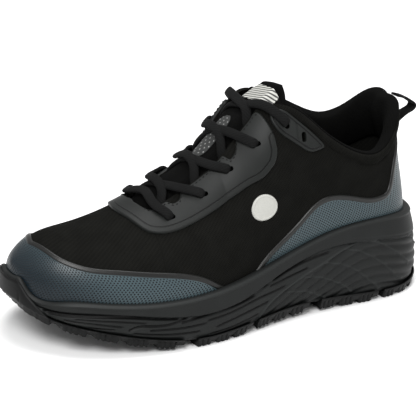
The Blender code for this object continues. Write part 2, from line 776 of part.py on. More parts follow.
def through(points, count):
    """Evenly spaced points on a smooth curve through the given ones."""
    points = np.array(points)
    run = np.concatenate([[0], np.cumsum(np.linalg.norm(np.diff(points[:, :3], axis=0), axis=1))])
    at = np.linspace(0, run[-1], count)
    return np.stack([spline(run, points[:, k], at) for k in range(points.shape[1])], -1)


def over_eyestay(share, up, side):
    height = LAY + EYESTAY + LACE_GAP + LACE_THICKNESS / 2
    point = lifted(turn(share), up, side, height)
    return np.concatenate([point, facing(turn(share), up, side)])


def over_tongue(share, wide, above=0.0):
    height = 2 * GAP + THIN_SHEET + LACE_GAP + LACE_THICKNESS / 2 + above
    point = tongue_skin(along_of(share), wide, height)
    out = point - tongue_skin(along_of(share), wide, 0.0)
    return np.concatenate([point, out / np.linalg.norm(out)])


def strand(name, stops, finish):
    made = through(stops, 7)
    return ribbon(name, made[:, :3], made[:, 3:], LACE_WIDTH, LACE_THICKNESS, finish)


def laces(finish):
    shares, ups = EYELETS["share"], EYELETS["up"]
    first = [over_eyestay(shares[0], ups[0], side) for side in (-1, 1)]
    brink = [over_eyestay(shares[0], float(edge(turn(shares[0]), side)), side) for side in (-1, 1)]
    strand("lace_bar", [first[0], brink[0], over_tongue(shares[0], 0.0), brink[1], first[1]], finish)
    for k in range(4):
        low, high = shares[k], shares[k + 1]
        pair = []
        for side in (-1, 1):
            near = high - 0.2 * (high - low)
            stops = [
                over_eyestay(high, ups[k + 1], side),
                over_eyestay(near, float(edge(turn(near), side)), side),
                over_tongue(min((low + high) / 2, LACE_LAST), 0.0, LACE_THICKNESS * 0.6 * (side > 0)),
                over_tongue(low + 0.35 * (high - low), -side * LACE_SPREAD),
            ]
            pair.append(strand(f"lace_cross_{k + 1}" if side < 0 else f"lace_join_{k + 1}", stops, finish))
        pair[1].hide_render = True
        pair[1].display_type = "WIRE"
        join = pair[0].modifiers.new("join", "BOOLEAN")
        join.operation = "UNION"
        join.solver = "EXACT"
        join.object = pair[1]


def slots(names):
    """Cuts the lace slots through the eyestay, the tabs and the upper."""
    outline_ring = [(-0.5, -0.5), (0.5, -0.5), (0.5, 0.5), (-0.5, 0.5)]
    points, faces = [], []
    for share, up, lying in zip(*EYELETS.values()):
        for side in (-1, 1):
            centre, out = section(turn(share), up, side), facing(turn(share), up, side)
            across = section(turn(share), up + STEP, side) - section(turn(share), up - STEP, side)
            across /= np.linalg.norm(across)
            along = np.cross(out, across)
            if lying:
                across, along = along, -across
            start = len(points)
            for height in (-UPPER_WALL - 1 * MM, LAY + EYESTAY + 1 * MM):
                for a, b in outline_ring:
                    points.append(centre + out * height + across * a * SLOT_LENGTH + along * b * SLOT_WIDTH)
            count = len(outline_ring)
            low = [start + k for k in range(count)]
            high = [k + count for k in low]
            faces += [low[::-1], high]
            faces += [[low[k - 1], low[k], high[k], high[k - 1]] for k in range(count)]
    cutter = add_object("slot_cutter", np.array(points), faces, material("cutter", (1, 0, 0), 0.5))
    cutter.hide_render = True
    cutter.display_type = "WIRE"
    for name in names:
        cut = bpy.data.objects[name].modifiers.new("slots", "BOOLEAN")
        cut.operation = "DIFFERENCE"
        cut.solver = "EXACT"
        cut.object = cutter


def heel_pieces(webbing):
    around = np.linspace(STRIP_START, 1.0, 3)
    low = lambda a, side: np.full_like(a, STRIP_LOW)
    high = lambda a, side: np.full_like(a, STRIP_HIGH)
    patch("heel_strip", (-1, 1), around, low, high, 4, LAY, THIN_SHEET, webbing)
    lift = LAY + THIN_SHEET + GAP + LOOP_THICKNESS / 2
    path = lifted(1.0, LOOP["up"], -1, lift + LOOP_REACH * LOOP["out"])
    path = through(path, 13)
    along = np.gradient(path, axis=0)
    ribbon("pull_loop", path, np.cross(along, [0.0, 1.0, 0.0]), LOOP_WIDTH, LOOP_THICKNESS, webbing)


def badge(finish):
    part = np.cos(np.linspace(math.pi, 0, 9))
    share = BADGE_SHARE + BADGE_HALF_SHARE * part
    half = BADGE_HALF_UP * np.sqrt(1 - part**2)
    low = lambda a, side: BADGE_UP - half
    high = lambda a, side: BADGE_UP + half
    patch("side_badge", (-1,), turn(share), low, high, 3, 2 * GAP, THIN_SHEET, finish)


def main():
    for obj in list(bpy.data.objects):
        bpy.data.objects.remove(obj)
    rubber = material("outsole_rubber", (0.02, 0.021, 0.021), 0.7)
    foam = material("midsole_foam", (0.036, 0.039, 0.039), 0.62)
    knit = material("upper_fabric", (0.018, 0.019, 0.019), 0.85)
    film = material("overlay_film", (0.10, 0.15, 0.18), 0.5)
    dark = material("eyestay_synthetic", (0.05, 0.055, 0.052), 0.55)
    bed = material("insole_fabric", (0.02, 0.02, 0.022), 0.9)
    lining = material("lining_fabric", (0.012, 0.012, 0.013), 0.9)
    cord = material("lace_cord", (0.01, 0.01, 0.01), 0.75)
    webbing = material("webbing", (0.015, 0.015, 0.015), 0.8)
    light = material("reflective_sheet", (0.45, 0.46, 0.46), 0.4)
    midsole(foam)
    for number, (start, stop, bars) in enumerate(zip(*PADS.values()), 1):
        outsole(f"outsole_{number}", start, stop, bars, rubber)
    upper(knit)
    overlays(dark, film)
    insole(bed)
    collar_padding(lining)
    tongue(lining, light)
    heel_pieces(webbing)
    badge(light)
    laces(cord)
    slots(("upper", "eyestay", "eyelet_tab_lateral", "eyelet_tab_medial"))


main()
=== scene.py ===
"""Dresses the low work shoe for a studio picture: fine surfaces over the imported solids.

Metres, +Z up, toe at -X, outer side of the foot at -Y. Every surface is worked out on a grid of
stations along the shoe and rows across it, from the same tables as the solids.
"""

import logging
import math
from collections.abc import Callable, Sequence
from dataclasses import dataclass
from enum import Enum

import bpy
import numpy as np
from mathutils import Matrix, Vector


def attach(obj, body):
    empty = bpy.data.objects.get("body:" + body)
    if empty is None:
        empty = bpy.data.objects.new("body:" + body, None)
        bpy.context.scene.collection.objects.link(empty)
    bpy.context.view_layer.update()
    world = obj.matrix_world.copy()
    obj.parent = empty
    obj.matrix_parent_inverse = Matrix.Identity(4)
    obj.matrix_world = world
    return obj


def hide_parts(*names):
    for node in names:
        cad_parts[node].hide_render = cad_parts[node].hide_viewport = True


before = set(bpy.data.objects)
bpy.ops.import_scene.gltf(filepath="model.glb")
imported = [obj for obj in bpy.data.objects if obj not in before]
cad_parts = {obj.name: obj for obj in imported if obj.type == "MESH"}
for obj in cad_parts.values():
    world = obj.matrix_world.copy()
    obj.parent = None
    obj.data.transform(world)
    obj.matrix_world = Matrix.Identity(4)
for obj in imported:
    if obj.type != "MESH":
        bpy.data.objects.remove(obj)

Array = np.ndarray
Line = Sequence[tuple[float, float]]
Piece = bpy.types.Object
Finish = bpy.types.Material
MM = 0.001
STEP = 1e-3
WELD = 1e-6
LOG = logging.getLogger("work_shoe")


class Side(Enum):
    """The two long sides of the shoe, with the sign of their Y."""

    LATERAL = -1
    MEDIAL = 1

    @property
    def other(self) -> "Side":
        """The opposite side."""
        return Side(-self.value)


def turn(share: Array | float) -> Array:
    """Station on the ring for a share of the length, closer together at the toe and the heel."""
    return np.arccos(1 - 2 * np.clip(share, 0, 1)) / math.pi


def share_of(around: Array | float) -> Array:
    """Share of the length for a station on the ring."""
    return (1 - np.cos(math.pi * np.asarray(around, float))) / 2


def smooth(value: Array | float, start: float, stop: float) -> Array:
    """0 before start, 1 after stop, by the cubic 3w^2 - 2w^3 between."""
    w = np.clip((np.asarray(value, float) - start) / (stop - start), 0, 1)
    return w * w * (3 - 2 * w)


def bell(value: Array, width: float) -> Array:
    """1 at zero, falling off as exp(-(value / width)^2)."""
    return np.exp(-((value / width) ** 2))


def spline(knots: Array, values: Array, at: Array) -> Array:
    """Natural cubic spline.

    Args:
        knots: where the values stand, rising.
        values: one value per knot, or one row of values.
        at: where to read it.

    Returns:
        The spline's value at each place.
    """
    knots, values = np.asarray(knots, float), np.asarray(values, float)
    count = len(knots)
    gap = np.diff(knots)
    system = np.eye(count)
    right = np.zeros((count,) + values.shape[1:])
    inner = np.arange(1, count - 1)
    system[inner, inner - 1], system[inner, inner + 1] = gap[:-1], gap[1:]
    system[inner, inner] = 2 * (gap[:-1] + gap[1:])
    slope = (np.diff(values, axis=0).T / gap).T
    right[1:-1] = 6 * np.diff(slope, axis=0)
    bend = np.linalg.solve(system, right)
    i = np.clip(np.searchsorted(knots, at, side="right") - 1, 0, count - 2)
    extra = (1,) * (values.ndim - 1)
    shape = np.shape(at) + extra
    after, before = (knots[i + 1] - at).reshape(shape), (at - knots[i]).reshape(shape)
    width = gap[i].reshape(shape)
    return (
        (bend[i] * after**3 + bend[i + 1] * before**3) / (6 * width)
        + (values[i] / width - bend[i] * width / 6) * after
        + (values[i + 1] / width - bend[i + 1] * width / 6) * before
    )


def run_of(points: Array, axis: int = 0) -> Array:
    """Length run along one axis of a grid of points, from 0.

    Args:
        points: grid or row of points.
        axis: the axis to run along.

    Returns:
        The length at each point.
    """
    step = np.linalg.norm(np.diff(points, axis=axis), axis=-1)
    pad = [(0, 0)] * step.ndim
    pad[axis] = (1, 0)
    return np.pad(np.cumsum(step, axis=axis), pad)


def through(stops: Array, count: int) -> Array:
    """Evenly run points on a smooth curve through the given ones.

    Args:
        stops: the points to pass, each with its direction or other values after its three coordinates.
        count: how many points to return.

    Returns:
        The points, with the same columns.
    """
    stops = np.asarray(stops, float)
    run = run_of(stops[:, :3])
    return spline(run, stops, np.linspace(0, run[-1], count))


def unit(vectors: Array) -> Array:
    """Vectors scaled to length one."""
    return vectors / np.maximum(np.linalg.norm(vectors, axis=-1, keepdims=True), 1e-12)


def away(points: Array, line: Array) -> Array:
    """Distance from points to a broken line, the least over its pieces.

    Args:
        points: grid or row of points.
        line: the broken line's points.

    Returns:
        The least distance of each point.
    """
    least = np.full(points.shape[:-1], np.inf)
    for start, stop in zip(line[:-1], line[1:]):
        along = stop - start
        part = np.clip(((points - start) @ along) / max(float(along @ along), 1e-18), 0, 1)
        least = np.minimum(least, np.linalg.norm(points - start - part[..., None] * along, axis=-1))
    return least


def rounded(far: Array, radius: float) -> Array:
    """Quarter circle of an edge: sqrt(1 - (1 - far / radius)^2), and 1 past the radius."""
    return np.sqrt(1 - (1 - np.clip(far / radius, 0, 1)) ** 2)


def eased(count: int) -> Array:
    """Places from 0 to 1 by (1 - cosine) / 2, closer together at both ends."""
    return (1 - np.cos(np.linspace(0, math.pi, count))) / 2


def oval(angle: Array, power: float) -> tuple[Array, Array]:
    """Rounded oval of width and height 1: cosine and sine to a power, with their signs kept."""
    x, y = np.cos(angle), np.sin(angle)
    return np.sign(x) * np.abs(x) ** power / 2, np.sign(y) * np.abs(y) ** power / 2


def rooted(line: Line, at: Array) -> Array:
    """Height of a drawn line, a spline over the root of the share past its start: it leaves it squarely."""
    share, height = np.array(line).T
    return spline(np.sqrt(share - share[0]), height, np.sqrt(np.maximum(at - share[0], 0)))


class Table:
    """Columns of values along the shoe, one row per section."""

    def __init__(self, names: str, *rows: tuple[float, ...]) -> None:
        """Keeps the rows under their column names, the first of which is share."""
        self.columns = dict(zip(names.split(), np.array(rows, float).T))

    def __getitem__(self, name: str) -> Array:
        """One column."""
        return self.columns[name]

    def at(self, name: str, around: Array | float) -> Array:
        """A column at ring stations, smooth between its rows."""
        return spline(turn(self["share"]), self[name], np.asarray(around, float))


SOLE = Table(
    "share lateral medial flare rim base band",
    (0.00, -0.060, 0.060, 0.010, 0.760, 0.525, 0.60),
    (0.004, 0.028, 0.150, 0.011, 0.760, 0.515, 0.60),
    (0.01, 0.079, 0.201, 0.012, 0.752, 0.500, 0.60),
    (0.02, 0.136, 0.254, 0.013, 0.635, 0.470, 0.61),
    (0.03, 0.180, 0.290, 0.015, 0.582, 0.440, 0.61),
    (0.08, 0.325, 0.385, 0.025, 0.594, 0.360, 0.63),
    (0.16, 0.440, 0.445, 0.035, 0.575, 0.258, 0.72),
    (0.26, 0.510, 0.475, 0.040, 0.545, 0.145, 0.68),
    (0.35, 0.530, 0.480, 0.045, 0.555, 0.084, 0.61),
    (0.46, 0.500, 0.430, 0.050, 0.612, 0.100, 0.63),
    (0.58, 0.430, 0.365, 0.055, 0.742, 0.130, 0.78),
    (0.70, 0.395, 0.350, 0.060, 0.915, 0.120, 0.80),
    (0.82, 0.385, 0.370, 0.065, 0.990, 0.084, 0.74),
    (0.92, 0.335, 0.325, 0.065, 0.975, 0.084, 0.69),
    (0.98, 0.190, 0.185, 0.065, 0.945, 0.110, 0.67),
    (1.00, 0.000, 0.000, 0.065, 0.940, 0.130, 0.66),
)
UPPER = Table(
    "share centre bed top tilt open angle rise reach lean",
    (0.00, 0.060, 0.605, 0.125, 0.000, 0.00, 0, 0.60, 0.60, 4),
    (0.03, 0.058, 0.510, 0.270, 0.000, 0.00, 0, 0.62, 0.60, 5),
    (0.08, 0.055, 0.435, 0.383, 0.000, 0.00, 0, 0.64, 0.60, 5),
    (0.16, 0.045, 0.400, 0.435, 0.000, 0.00, 0, 0.64, 0.60, 4),
    (0.26, 0.040, 0.380, 0.518, 0.000, 0.00, 0, 0.58, 0.60, 3),
    (0.36, 0.030, 0.380, 0.648, 0.000, 0.00, 0, 0.54, 0.58, 3),
    (0.46, 0.025, 0.420, 0.824, 0.000, 0.00, 0, 0.50, 0.56, 2),
    (0.53, 0.020, 0.460, 0.992, -0.008, 0.25, 20, 0.46, 0.50, 2),
    (0.585, 0.015, 0.500, 1.053, -0.018, 0.62, 52, 0.44, 0.42, 2),
    (0.63, 0.010, 0.530, 1.026, -0.010, 0.77, 66, 0.40, 0.38, 3),
    (0.70, 0.000, 0.570, 0.888, 0.027, 0.90, 78, 0.36, 0.34, 3),
    (0.78, 0.000, 0.600, 0.743, 0.043, 1.00, 88, 0.34, 0.34, 4),
    (0.85, 0.000, 0.615, 0.681, 0.035, 0.98, 92, 0.34, 0.34, 5),
    (0.91, 0.000, 0.620, 0.730, 0.030, 0.82, 96, 0.36, 0.34, 5),
    (0.97, 0.000, 0.620, 0.848, 0.018, 0.47, 102, 0.38, 0.30, 5),
    (1.00, 0.000, 0.620, 0.874, 0.000, 0.00, 106, 0.38, 0.30, 5),
)
EYELETS = ((0.330, 0.652), (0.412, 0.656), (0.478, 0.668), (0.537, 0.755), (0.606, 0.893), (0.645, 0.850))
THROAT_STEPS = np.array([0, 0.0003, 0.001, 0.002, 0.004, 0.006, 0.009, 0.012, 0.016, 0.02])


@dataclass(frozen=True)
class Form:
    """The shoe's closed outer form: the sole's side and the upper's sections, read from the tables."""

    sole_length: float = 300 * MM
    ball_width: float = 112 * MM
    cup_height: float = 56 * MM
    middle: float = 0.0232
    rim_thickness: float = 5.0 * MM
    edge_tuck: float = 2.6 * MM
    belly_level: float = 0.2
    belly_power: float = 1.8
    bumper: float = 2.0 * MM
    instep_rise: float = 104 * MM
    collar_width: float = 72 * MM
    collar_reach: float = 12 * MM
    collar_start: float = 0.62
    wall: float = 2.0 * MM
    throat_width: float = 34 * MM
    throat_start: float = 0.287
    throat_round: float = 6 * MM
    throat_end: float = 0.60
    crest_end: float = 0.46
    overlay_sink: float = 0.3 * MM
    overlay_gap: float = 0.02 * MM

    def x_of(self, share: Array | float) -> Array:
        """X at a share of the sole's length."""
        return self.sole_length * (np.asarray(share, float) - 0.5)

    def outline(self, around: Array, side: Side, inset: Array | float = 0.0) -> tuple[Array, Array]:
        """Plan point of the sole's outline, moved in by inset, and its outward direction.

        Args:
            around: stations.
            side: which side.
            inset: how far inside the outline.

        Returns:
            The plan points and the outward directions.
        """

        def point(a: Array) -> Array:
            """Plan point of the outline at ring stations."""
            y = self.ball_width * (self.middle + side.value * SOLE.at(side.name.lower(), a))
            return np.stack([self.x_of(share_of(a)), y], -1)

        a = np.asarray(around, float)
        along = point(np.clip(a + STEP, 0, 1)) - point(np.clip(a - STEP, 0, 1))
        out = unit(np.stack([-along[..., 1], along[..., 0]], -1) * side.value)
        ends = ((a <= 0) | (a >= 1))[..., None]
        out = np.where(ends, np.stack([np.sign(a - 0.5), 0 * a], -1), out)
        return point(a) - (np.asarray(inset) + 0 * a)[..., None] * out, out

    def middle_of(self, around: Array) -> Array:
        """Y of the upper's middle line."""
        return self.ball_width * (self.middle + UPPER.at("centre", around))

    def section(self, around: Array | float, up: Array | float, side: Side) -> Array:
        """Point of the closed upper: a cubic curve from the bed (up 0) to the crest or collar (up 1).

        Args:
            around: stations.
            up: share of the section.
            side: which side.

        Returns:
            The points.
        """
        around, up = np.broadcast_arrays(np.asarray(around, float), np.asarray(up, float))
        s = side.value
        inset = self.ball_width * SOLE.at("flare", around) + self.rim_thickness
        plan, out = self.outline(around, side, inset)
        floor = self.cup_height * UPPER.at("bed", around)
        opened = around > turn(self.crest_end)
        toe = self.ball_width * SOLE["flare"][0] + self.rim_thickness
        heel = self.ball_width * SOLE["flare"][-1] + self.rim_thickness
        top_x = toe - self.sole_length / 2 + (self.sole_length - toe - heel) * share_of(around)
        to_heel = np.clip((around - self.collar_start) / (1 - self.collar_start), 0, 1)
        top_x = top_x - self.collar_reach * to_heel**2
        half = self.collar_width / 2 * np.maximum(UPPER.at("open", around), 0) * opened
        top_y = self.middle_of(around) + s * half
        top_z = floor + self.instep_rise * (UPPER.at("top", around) + s * opened * UPPER.at("tilt", around))
        arrive = np.radians(np.maximum(UPPER.at("angle", around), 0) * opened)
        lean = np.radians(UPPER.at("lean", around))
        back = smooth(around, 0.6, 0.95)
        inward = unit(np.stack([-back * out[..., 0], -(1 - back) * s - back * out[..., 1]], -1))
        high = top_z - floor
        wide = np.hypot(top_x - plan[..., 0], top_y - plan[..., 1])
        first = UPPER.at("rise", around) * high
        slanted = wide * np.abs(np.cos(arrive)) + high * np.abs(np.sin(arrive))
        last = UPPER.at("reach", around) * slanted
        start = np.stack([plan[..., 0], plan[..., 1], floor], -1)
        stop = np.stack([top_x, top_y, top_z], -1)
        leave = np.stack([out[..., 0] * np.sin(lean), out[..., 1] * np.sin(lean), np.cos(lean)], -1)
        flat, steep = np.cos(arrive), np.sin(arrive)
        reach = np.stack([inward[..., 0] * flat, inward[..., 1] * flat, steep], -1)
        near, far = start + first[..., None] * leave, stop - last[..., None] * reach
        q = up[..., None]
        return (1 - q) ** 3 * start + 3 * q * (1 - q) ** 2 * near + 3 * q * q * (1 - q) * far + q**3 * stop

    def solve_up(self, around: Array, side: Side, passed: Callable[[Array], Array]) -> Array:
        """Share of the section at which passed(point) first becomes true, by halving.

        Args:
            around: stations.
            side: which side.
            passed: test of points, false below the place and true above it.

        Returns:
            The share of each section.
        """
        around = np.asarray(around, float)
        low, high = np.zeros_like(around), np.ones_like(around)
        for _ in range(24):
            half = (low + high) / 2
            done = passed(self.section(around, half, side))
            low, high = np.where(done, low, half), np.where(done, half, high)
        return high

    def edge(self, around: Array, side: Side) -> Array:
        """Share of the section at which the throat or the collar cuts it.

        Args:
            around: stations.
            side: which side.

        Returns:
            The share of each section, 1 where nothing cuts it.
        """
        around = np.asarray(around, float)
        past = self.x_of(share_of(around)) - self.x_of(self.throat_start)
        half = self.throat_width / 2 * rounded(past, self.throat_round)
        middle = self.middle_of(around)
        cut = self.solve_up(around, side, lambda p: side.value * (p[..., 1] - middle) <= half)
        return np.where((half > 0) & (around < turn(self.throat_end)), cut, 1.0)

    def rim_up(self, around: Array, side: Side, above: float = 0.0) -> Array:
        """Share of the section at which it leaves the cup of the sole."""
        rim = self.cup_height * SOLE.at("rim", around) + above
        return self.solve_up(around, side, lambda p: p[..., 2] >= rim)

    def girth(self, around: Array, side: Side, count: int = 24) -> Array:
        """Length of each section from the bed to its top, measured over count points."""
        up = np.linspace(0, 1, count)[None, :]
        return run_of(self.section(around[:, None], up, side), 1)[:, -1]

    def overlay(self, around: Array, up: Array, side: Side, height: Array, uv: Array) -> "Patch":
        """A thin piece laid on the upper, with its underside a little inside the cloth.

        Args:
            around: stations.
            up: share of the section.
            side: which side.
            height: how far it stands out.
            uv: its cloth coordinates.

        Returns:
            The patch.
        """
        low = self.lifted(around[:, None], up, side, -self.overlay_sink)
        high = self.lifted(around[:, None], up, side, height)
        return Patch(low, high, uv, side is Side.MEDIAL)

    def facing(self, around: Array, up: Array, side: Side) -> Array:
        """Outward direction of the closed upper.

        Args:
            around: stations.
            up: share of the section.
            side: which side.

        Returns:
            The directions, of length one.
        """
        a = np.clip(around, 2 * STEP, 1)
        ahead, behind = np.clip(a + STEP, 0, 1), np.clip(a - STEP, 0, 1)
        along = self.section(ahead, up, side) - self.section(behind, up, side)
        rising = self.section(a, up + STEP, side) - self.section(a, up - STEP, side)
        return unit(np.cross(rising, along) * side.value)

    def lifted(self, around: Array | float, up: Array | float, side: Side, height: Array | float) -> Array:
        """Point of the closed upper moved outwards by height; both sides agree on their seams.

        Args:
            around: stations.
            up: share of the section.
            side: which side.
            height: how far it stands out.

        Returns:
            The points.
        """
        around, up = np.broadcast_arrays(np.asarray(around, float), np.asarray(up, float))
        out = self.facing(around, up, side)
        seam = (around >= 1) | ((up >= 1) & (around <= turn(self.throat_start)))
        if seam.any():
            out = np.where(seam[..., None], out + self.facing(around, up, side.other), out)
        out = unit(np.where((around <= 0)[..., None], [-1.0, 0.0, 0.0], out))
        return self.section(around, up, side) + np.asarray(height)[..., None] * out

    def sole_side(self, around: Array, level: Array, side: Side, out: Array | float) -> Array:
        """Point of the sole's side wall, level 0 at its foot and 1 at the rim, out metres outside it.

        Args:
            around: stations.
            level: share of the wall's height.
            side: which side.
            out: how far outside the wall.

        Returns:
            The points.
        """
        around, level = np.broadcast_arrays(np.asarray(around, float), np.asarray(level, float))
        belly = np.clip((level - self.belly_level) / (1 - self.belly_level), 0, 1) ** self.belly_power
        tuck = np.clip((self.belly_level - level) / self.belly_level, 0, 1) ** 2
        toe = self.bumper * (1 - smooth(share_of(around), 0.035, 0.09))
        inset = self.ball_width * SOLE.at("flare", around) * belly + self.edge_tuck * tuck + toe - out
        plan, _ = self.outline(around, side, inset)
        base = self.cup_height * SOLE.at("base", around)
        rim = self.cup_height * SOLE.at("rim", around)
        return np.concatenate([plan, (base + (rim - base) * level)[..., None]], -1)


FORM = Form()


# Meshes


@dataclass
class Patch:
    """A grid of surface: inner and outer points (stations, rows, 3), its cloth coordinates and its turn."""

    inside: Array
    outside: Array
    uv: Array
    flip: bool


def put_mesh(name: str, points: Array, faces: Array, uv: Array, finish: Finish, sharp: float) -> Piece:
    """Makes an object of triangles.

    Args:
        name: the object's name.
        points: vertices (n, 3).
        faces: triangles (m, 3).
        uv: cloth coordinates in metres of each triangle's corners (m, 3, 2), or with a third, the
            distance from the piece's edge (m, 3, 3).
        finish: its material.
        sharp: angle from which an edge is sharp.

    Returns:
        The object, linked to the scene.
    """
    mesh = bpy.data.meshes.new(name)
    mesh.vertices.add(len(points))
    mesh.vertices.foreach_set("co", points.astype(np.float32).ravel())
    mesh.loops.add(faces.size)
    mesh.loops.foreach_set("vertex_index", faces.astype(np.int32).ravel())
    mesh.polygons.add(len(faces))
    mesh.polygons.foreach_set("loop_start", np.arange(0, faces.size, 3, dtype=np.int32))
    mesh.polygons.foreach_set("loop_total", np.full(len(faces), 3, dtype=np.int32))
    mesh.update(calc_edges=True)
    layer = mesh.uv_layers.new(name="cloth")
    layer.data.foreach_set("uv", uv[..., :2].astype(np.float32).ravel())
    if uv.shape[-1] > 2:
        far = np.stack([uv[..., 2], 0 * uv[..., 2]], -1)
        edge = mesh.uv_layers.new(name="edge")
        edge.data.foreach_set("uv", far.astype(np.float32).ravel())
    mesh.polygons.foreach_set("use_smooth", np.ones(len(faces), dtype=bool))
    mesh.set_sharp_from_angle(angle=math.radians(sharp))
    mesh.materials.append(finish)
    piece = bpy.data.objects.new(name, mesh)
    bpy.context.scene.collection.objects.link(piece)
    return piece


def triangles(grids: Sequence[tuple[int, int, bool]]) -> Array:
    """Two triangles per cell of each grid, given its stations, rows and turn.

    Args:
        grids: for each grid its stations, rows and turn.

    Returns:
        Corner numbers (n, 3).
    """
    start, faces = 0, []
    for stations, rows, flip in grids:
        corner = (start + np.arange(stations - 1)[:, None] * rows + np.arange(rows - 1)).ravel()
        quad = np.stack([corner, corner + rows, corner + rows + 1, corner + 1], -1)
        faces.append(quad[:, ::-1] if flip else quad)
        start += stations * rows
    quads = np.concatenate(faces)
    return np.concatenate([quads[:, [0, 1, 2]], quads[:, [0, 2, 3]]])


def whole(faces: Array) -> Array:
    """True for each triangle with three different corners."""
    return (faces[:, 0] != faces[:, 1]) & (faces[:, 1] != faces[:, 2]) & (faces[:, 0] != faces[:, 2])


def welded(points: Array, faces: Array) -> tuple[Array, Array]:
    """Joins equal points: the first place of each different point, and the faces by those points.

    Args:
        points: points, or points of both faces side by side.
        faces: corner numbers.

    Returns:
        First places and joined faces.
    """
    key = np.round(points / WELD).astype(np.int64)
    _, first, index = np.unique(key, axis=0, return_index=True, return_inverse=True)
    return first, index.reshape(-1)[faces]


def skin(name: str, grids: Sequence[tuple[Array, Array, bool]], finish: Finish, sharp: float = 50) -> Piece:
    """Closed surface of grids that meet at their edges: equal points become one vertex.

    Args:
        name: its name.
        grids: for each grid its points, its cloth coordinates and its turn.
        finish: its material.
        sharp: angle from which an edge is sharp.

    Returns:
        The object.
    """
    points = np.concatenate([p.reshape(-1, 3) for p, _, _ in grids])
    uv = np.concatenate([u.reshape(-1, u.shape[-1]) for _, u, _ in grids])
    faces = triangles([(p.shape[0], p.shape[1], flip) for p, _, flip in grids])
    first, joined = welded(points, faces)
    keep = whole(joined)
    return put_mesh(name, points[first], joined[keep], uv[faces[keep]], finish, sharp)


def shell(name: str, patches: Sequence[Patch], finish: Finish, sharp: float = 50) -> Piece:
    """Closed body between the inner and the outer points of patches, with a wall along their free edges.

    An edge is free where only one triangle of the skin uses it; the wall joins its inner and outer ends.

    Args:
        name: its name.
        patches: the patches, which meet at their edges.
        finish: its material.
        sharp: angle from which an edge is sharp.

    Returns:
        The object.
    """
    inside = np.concatenate([p.inside.reshape(-1, 3) for p in patches])
    outside = np.concatenate([p.outside.reshape(-1, 3) for p in patches])
    uv = np.concatenate([p.uv.reshape(-1, p.uv.shape[-1]) for p in patches])
    faces = triangles([(p.inside.shape[0], p.inside.shape[1], p.flip) for p in patches])
    first, joined = welded(np.hstack([inside, outside]), faces)
    keep = whole(joined)
    faces, joined = faces[keep], joined[keep]
    count = len(first)
    a, b = joined.ravel(), joined[:, [1, 2, 0]].ravel()
    ua, ub = faces.ravel(), faces[:, [1, 2, 0]].ravel()
    free = ~np.isin(a * count + b, b * count + a)
    a, b, ua, ub = a[free], b[free], ua[free], ub[free]
    wall = np.concatenate([np.stack([a, b, b + count], -1), np.stack([a, b + count, a + count], -1)])
    wall_uv = np.concatenate([np.stack([ua, ub, ub], -1), np.stack([ua, ub, ua], -1)])
    every = np.concatenate([joined + count, joined[:, ::-1], wall])
    every_uv = uv[np.concatenate([faces, faces[:, ::-1], wall_uv])]
    return put_mesh(name, np.vstack([inside[first], outside[first]]), every, every_uv, finish, sharp)


def loft(name: str, rings: Array, finish: Finish, sharp: float = 60) -> Piece:
    """Closed tube through equal rings (count, size, 3); its ends are fans to the ring's middle.

    Args:
        name: its name.
        rings: the rings in order.
        finish: its material.
        sharp: angle from which an edge is sharp.

    Returns:
        The object.
    """
    size = rings.shape[1]
    start, stop = (np.repeat(end.mean(1, keepdims=True), size + 1, 1) for end in (rings[:1], rings[-1:]))
    closed = np.concatenate([start, np.concatenate([rings, rings[:, :1]], 1), stop])
    u = run_of(closed.mean(1))[:, None] + np.zeros(size + 1)
    v = run_of(closed, 1)
    return skin(name, [(closed, np.stack([u, v], -1), False)], finish, sharp)


def grid_uv(points: Array) -> Array:
    """Cloth coordinates of a grid: run along its middle row, and run up from its first row."""
    u = run_of(points[:, points.shape[1] // 2])[:, None] + np.zeros(points.shape[1])
    return np.stack([u, run_of(points, 1)], -1)


def flat_cord(
    path: Array,
    out: Array,
    width: Array | float,
    thickness: Array | float,
    corners: int = 20,
    power: float = 0.8,
) -> Array:
    """Rings of a flat cord along a path, as rounded ovals x = cos^p, y = sin across and out.

    Args:
        path: its middle line.
        out: direction of its face at each point.
        width: its width.
        thickness: its thickness.
        corners: points of a ring.
        power: roundness of the oval.

    Returns:
        The rings.
    """
    along = unit(np.gradient(path, axis=0))
    across = unit(np.cross(along, out))
    out = np.cross(across, along)
    x, y = oval(np.linspace(0, 2 * math.pi, corners, endpoint=False), power)
    width, thickness = (np.broadcast_to(value, len(path))[:, None, None] for value in (width, thickness))
    shape = x[None, :, None] * width * across[:, None] + y[None, :, None] * thickness * out[:, None]
    return path[:, None] + shape


# Finishes


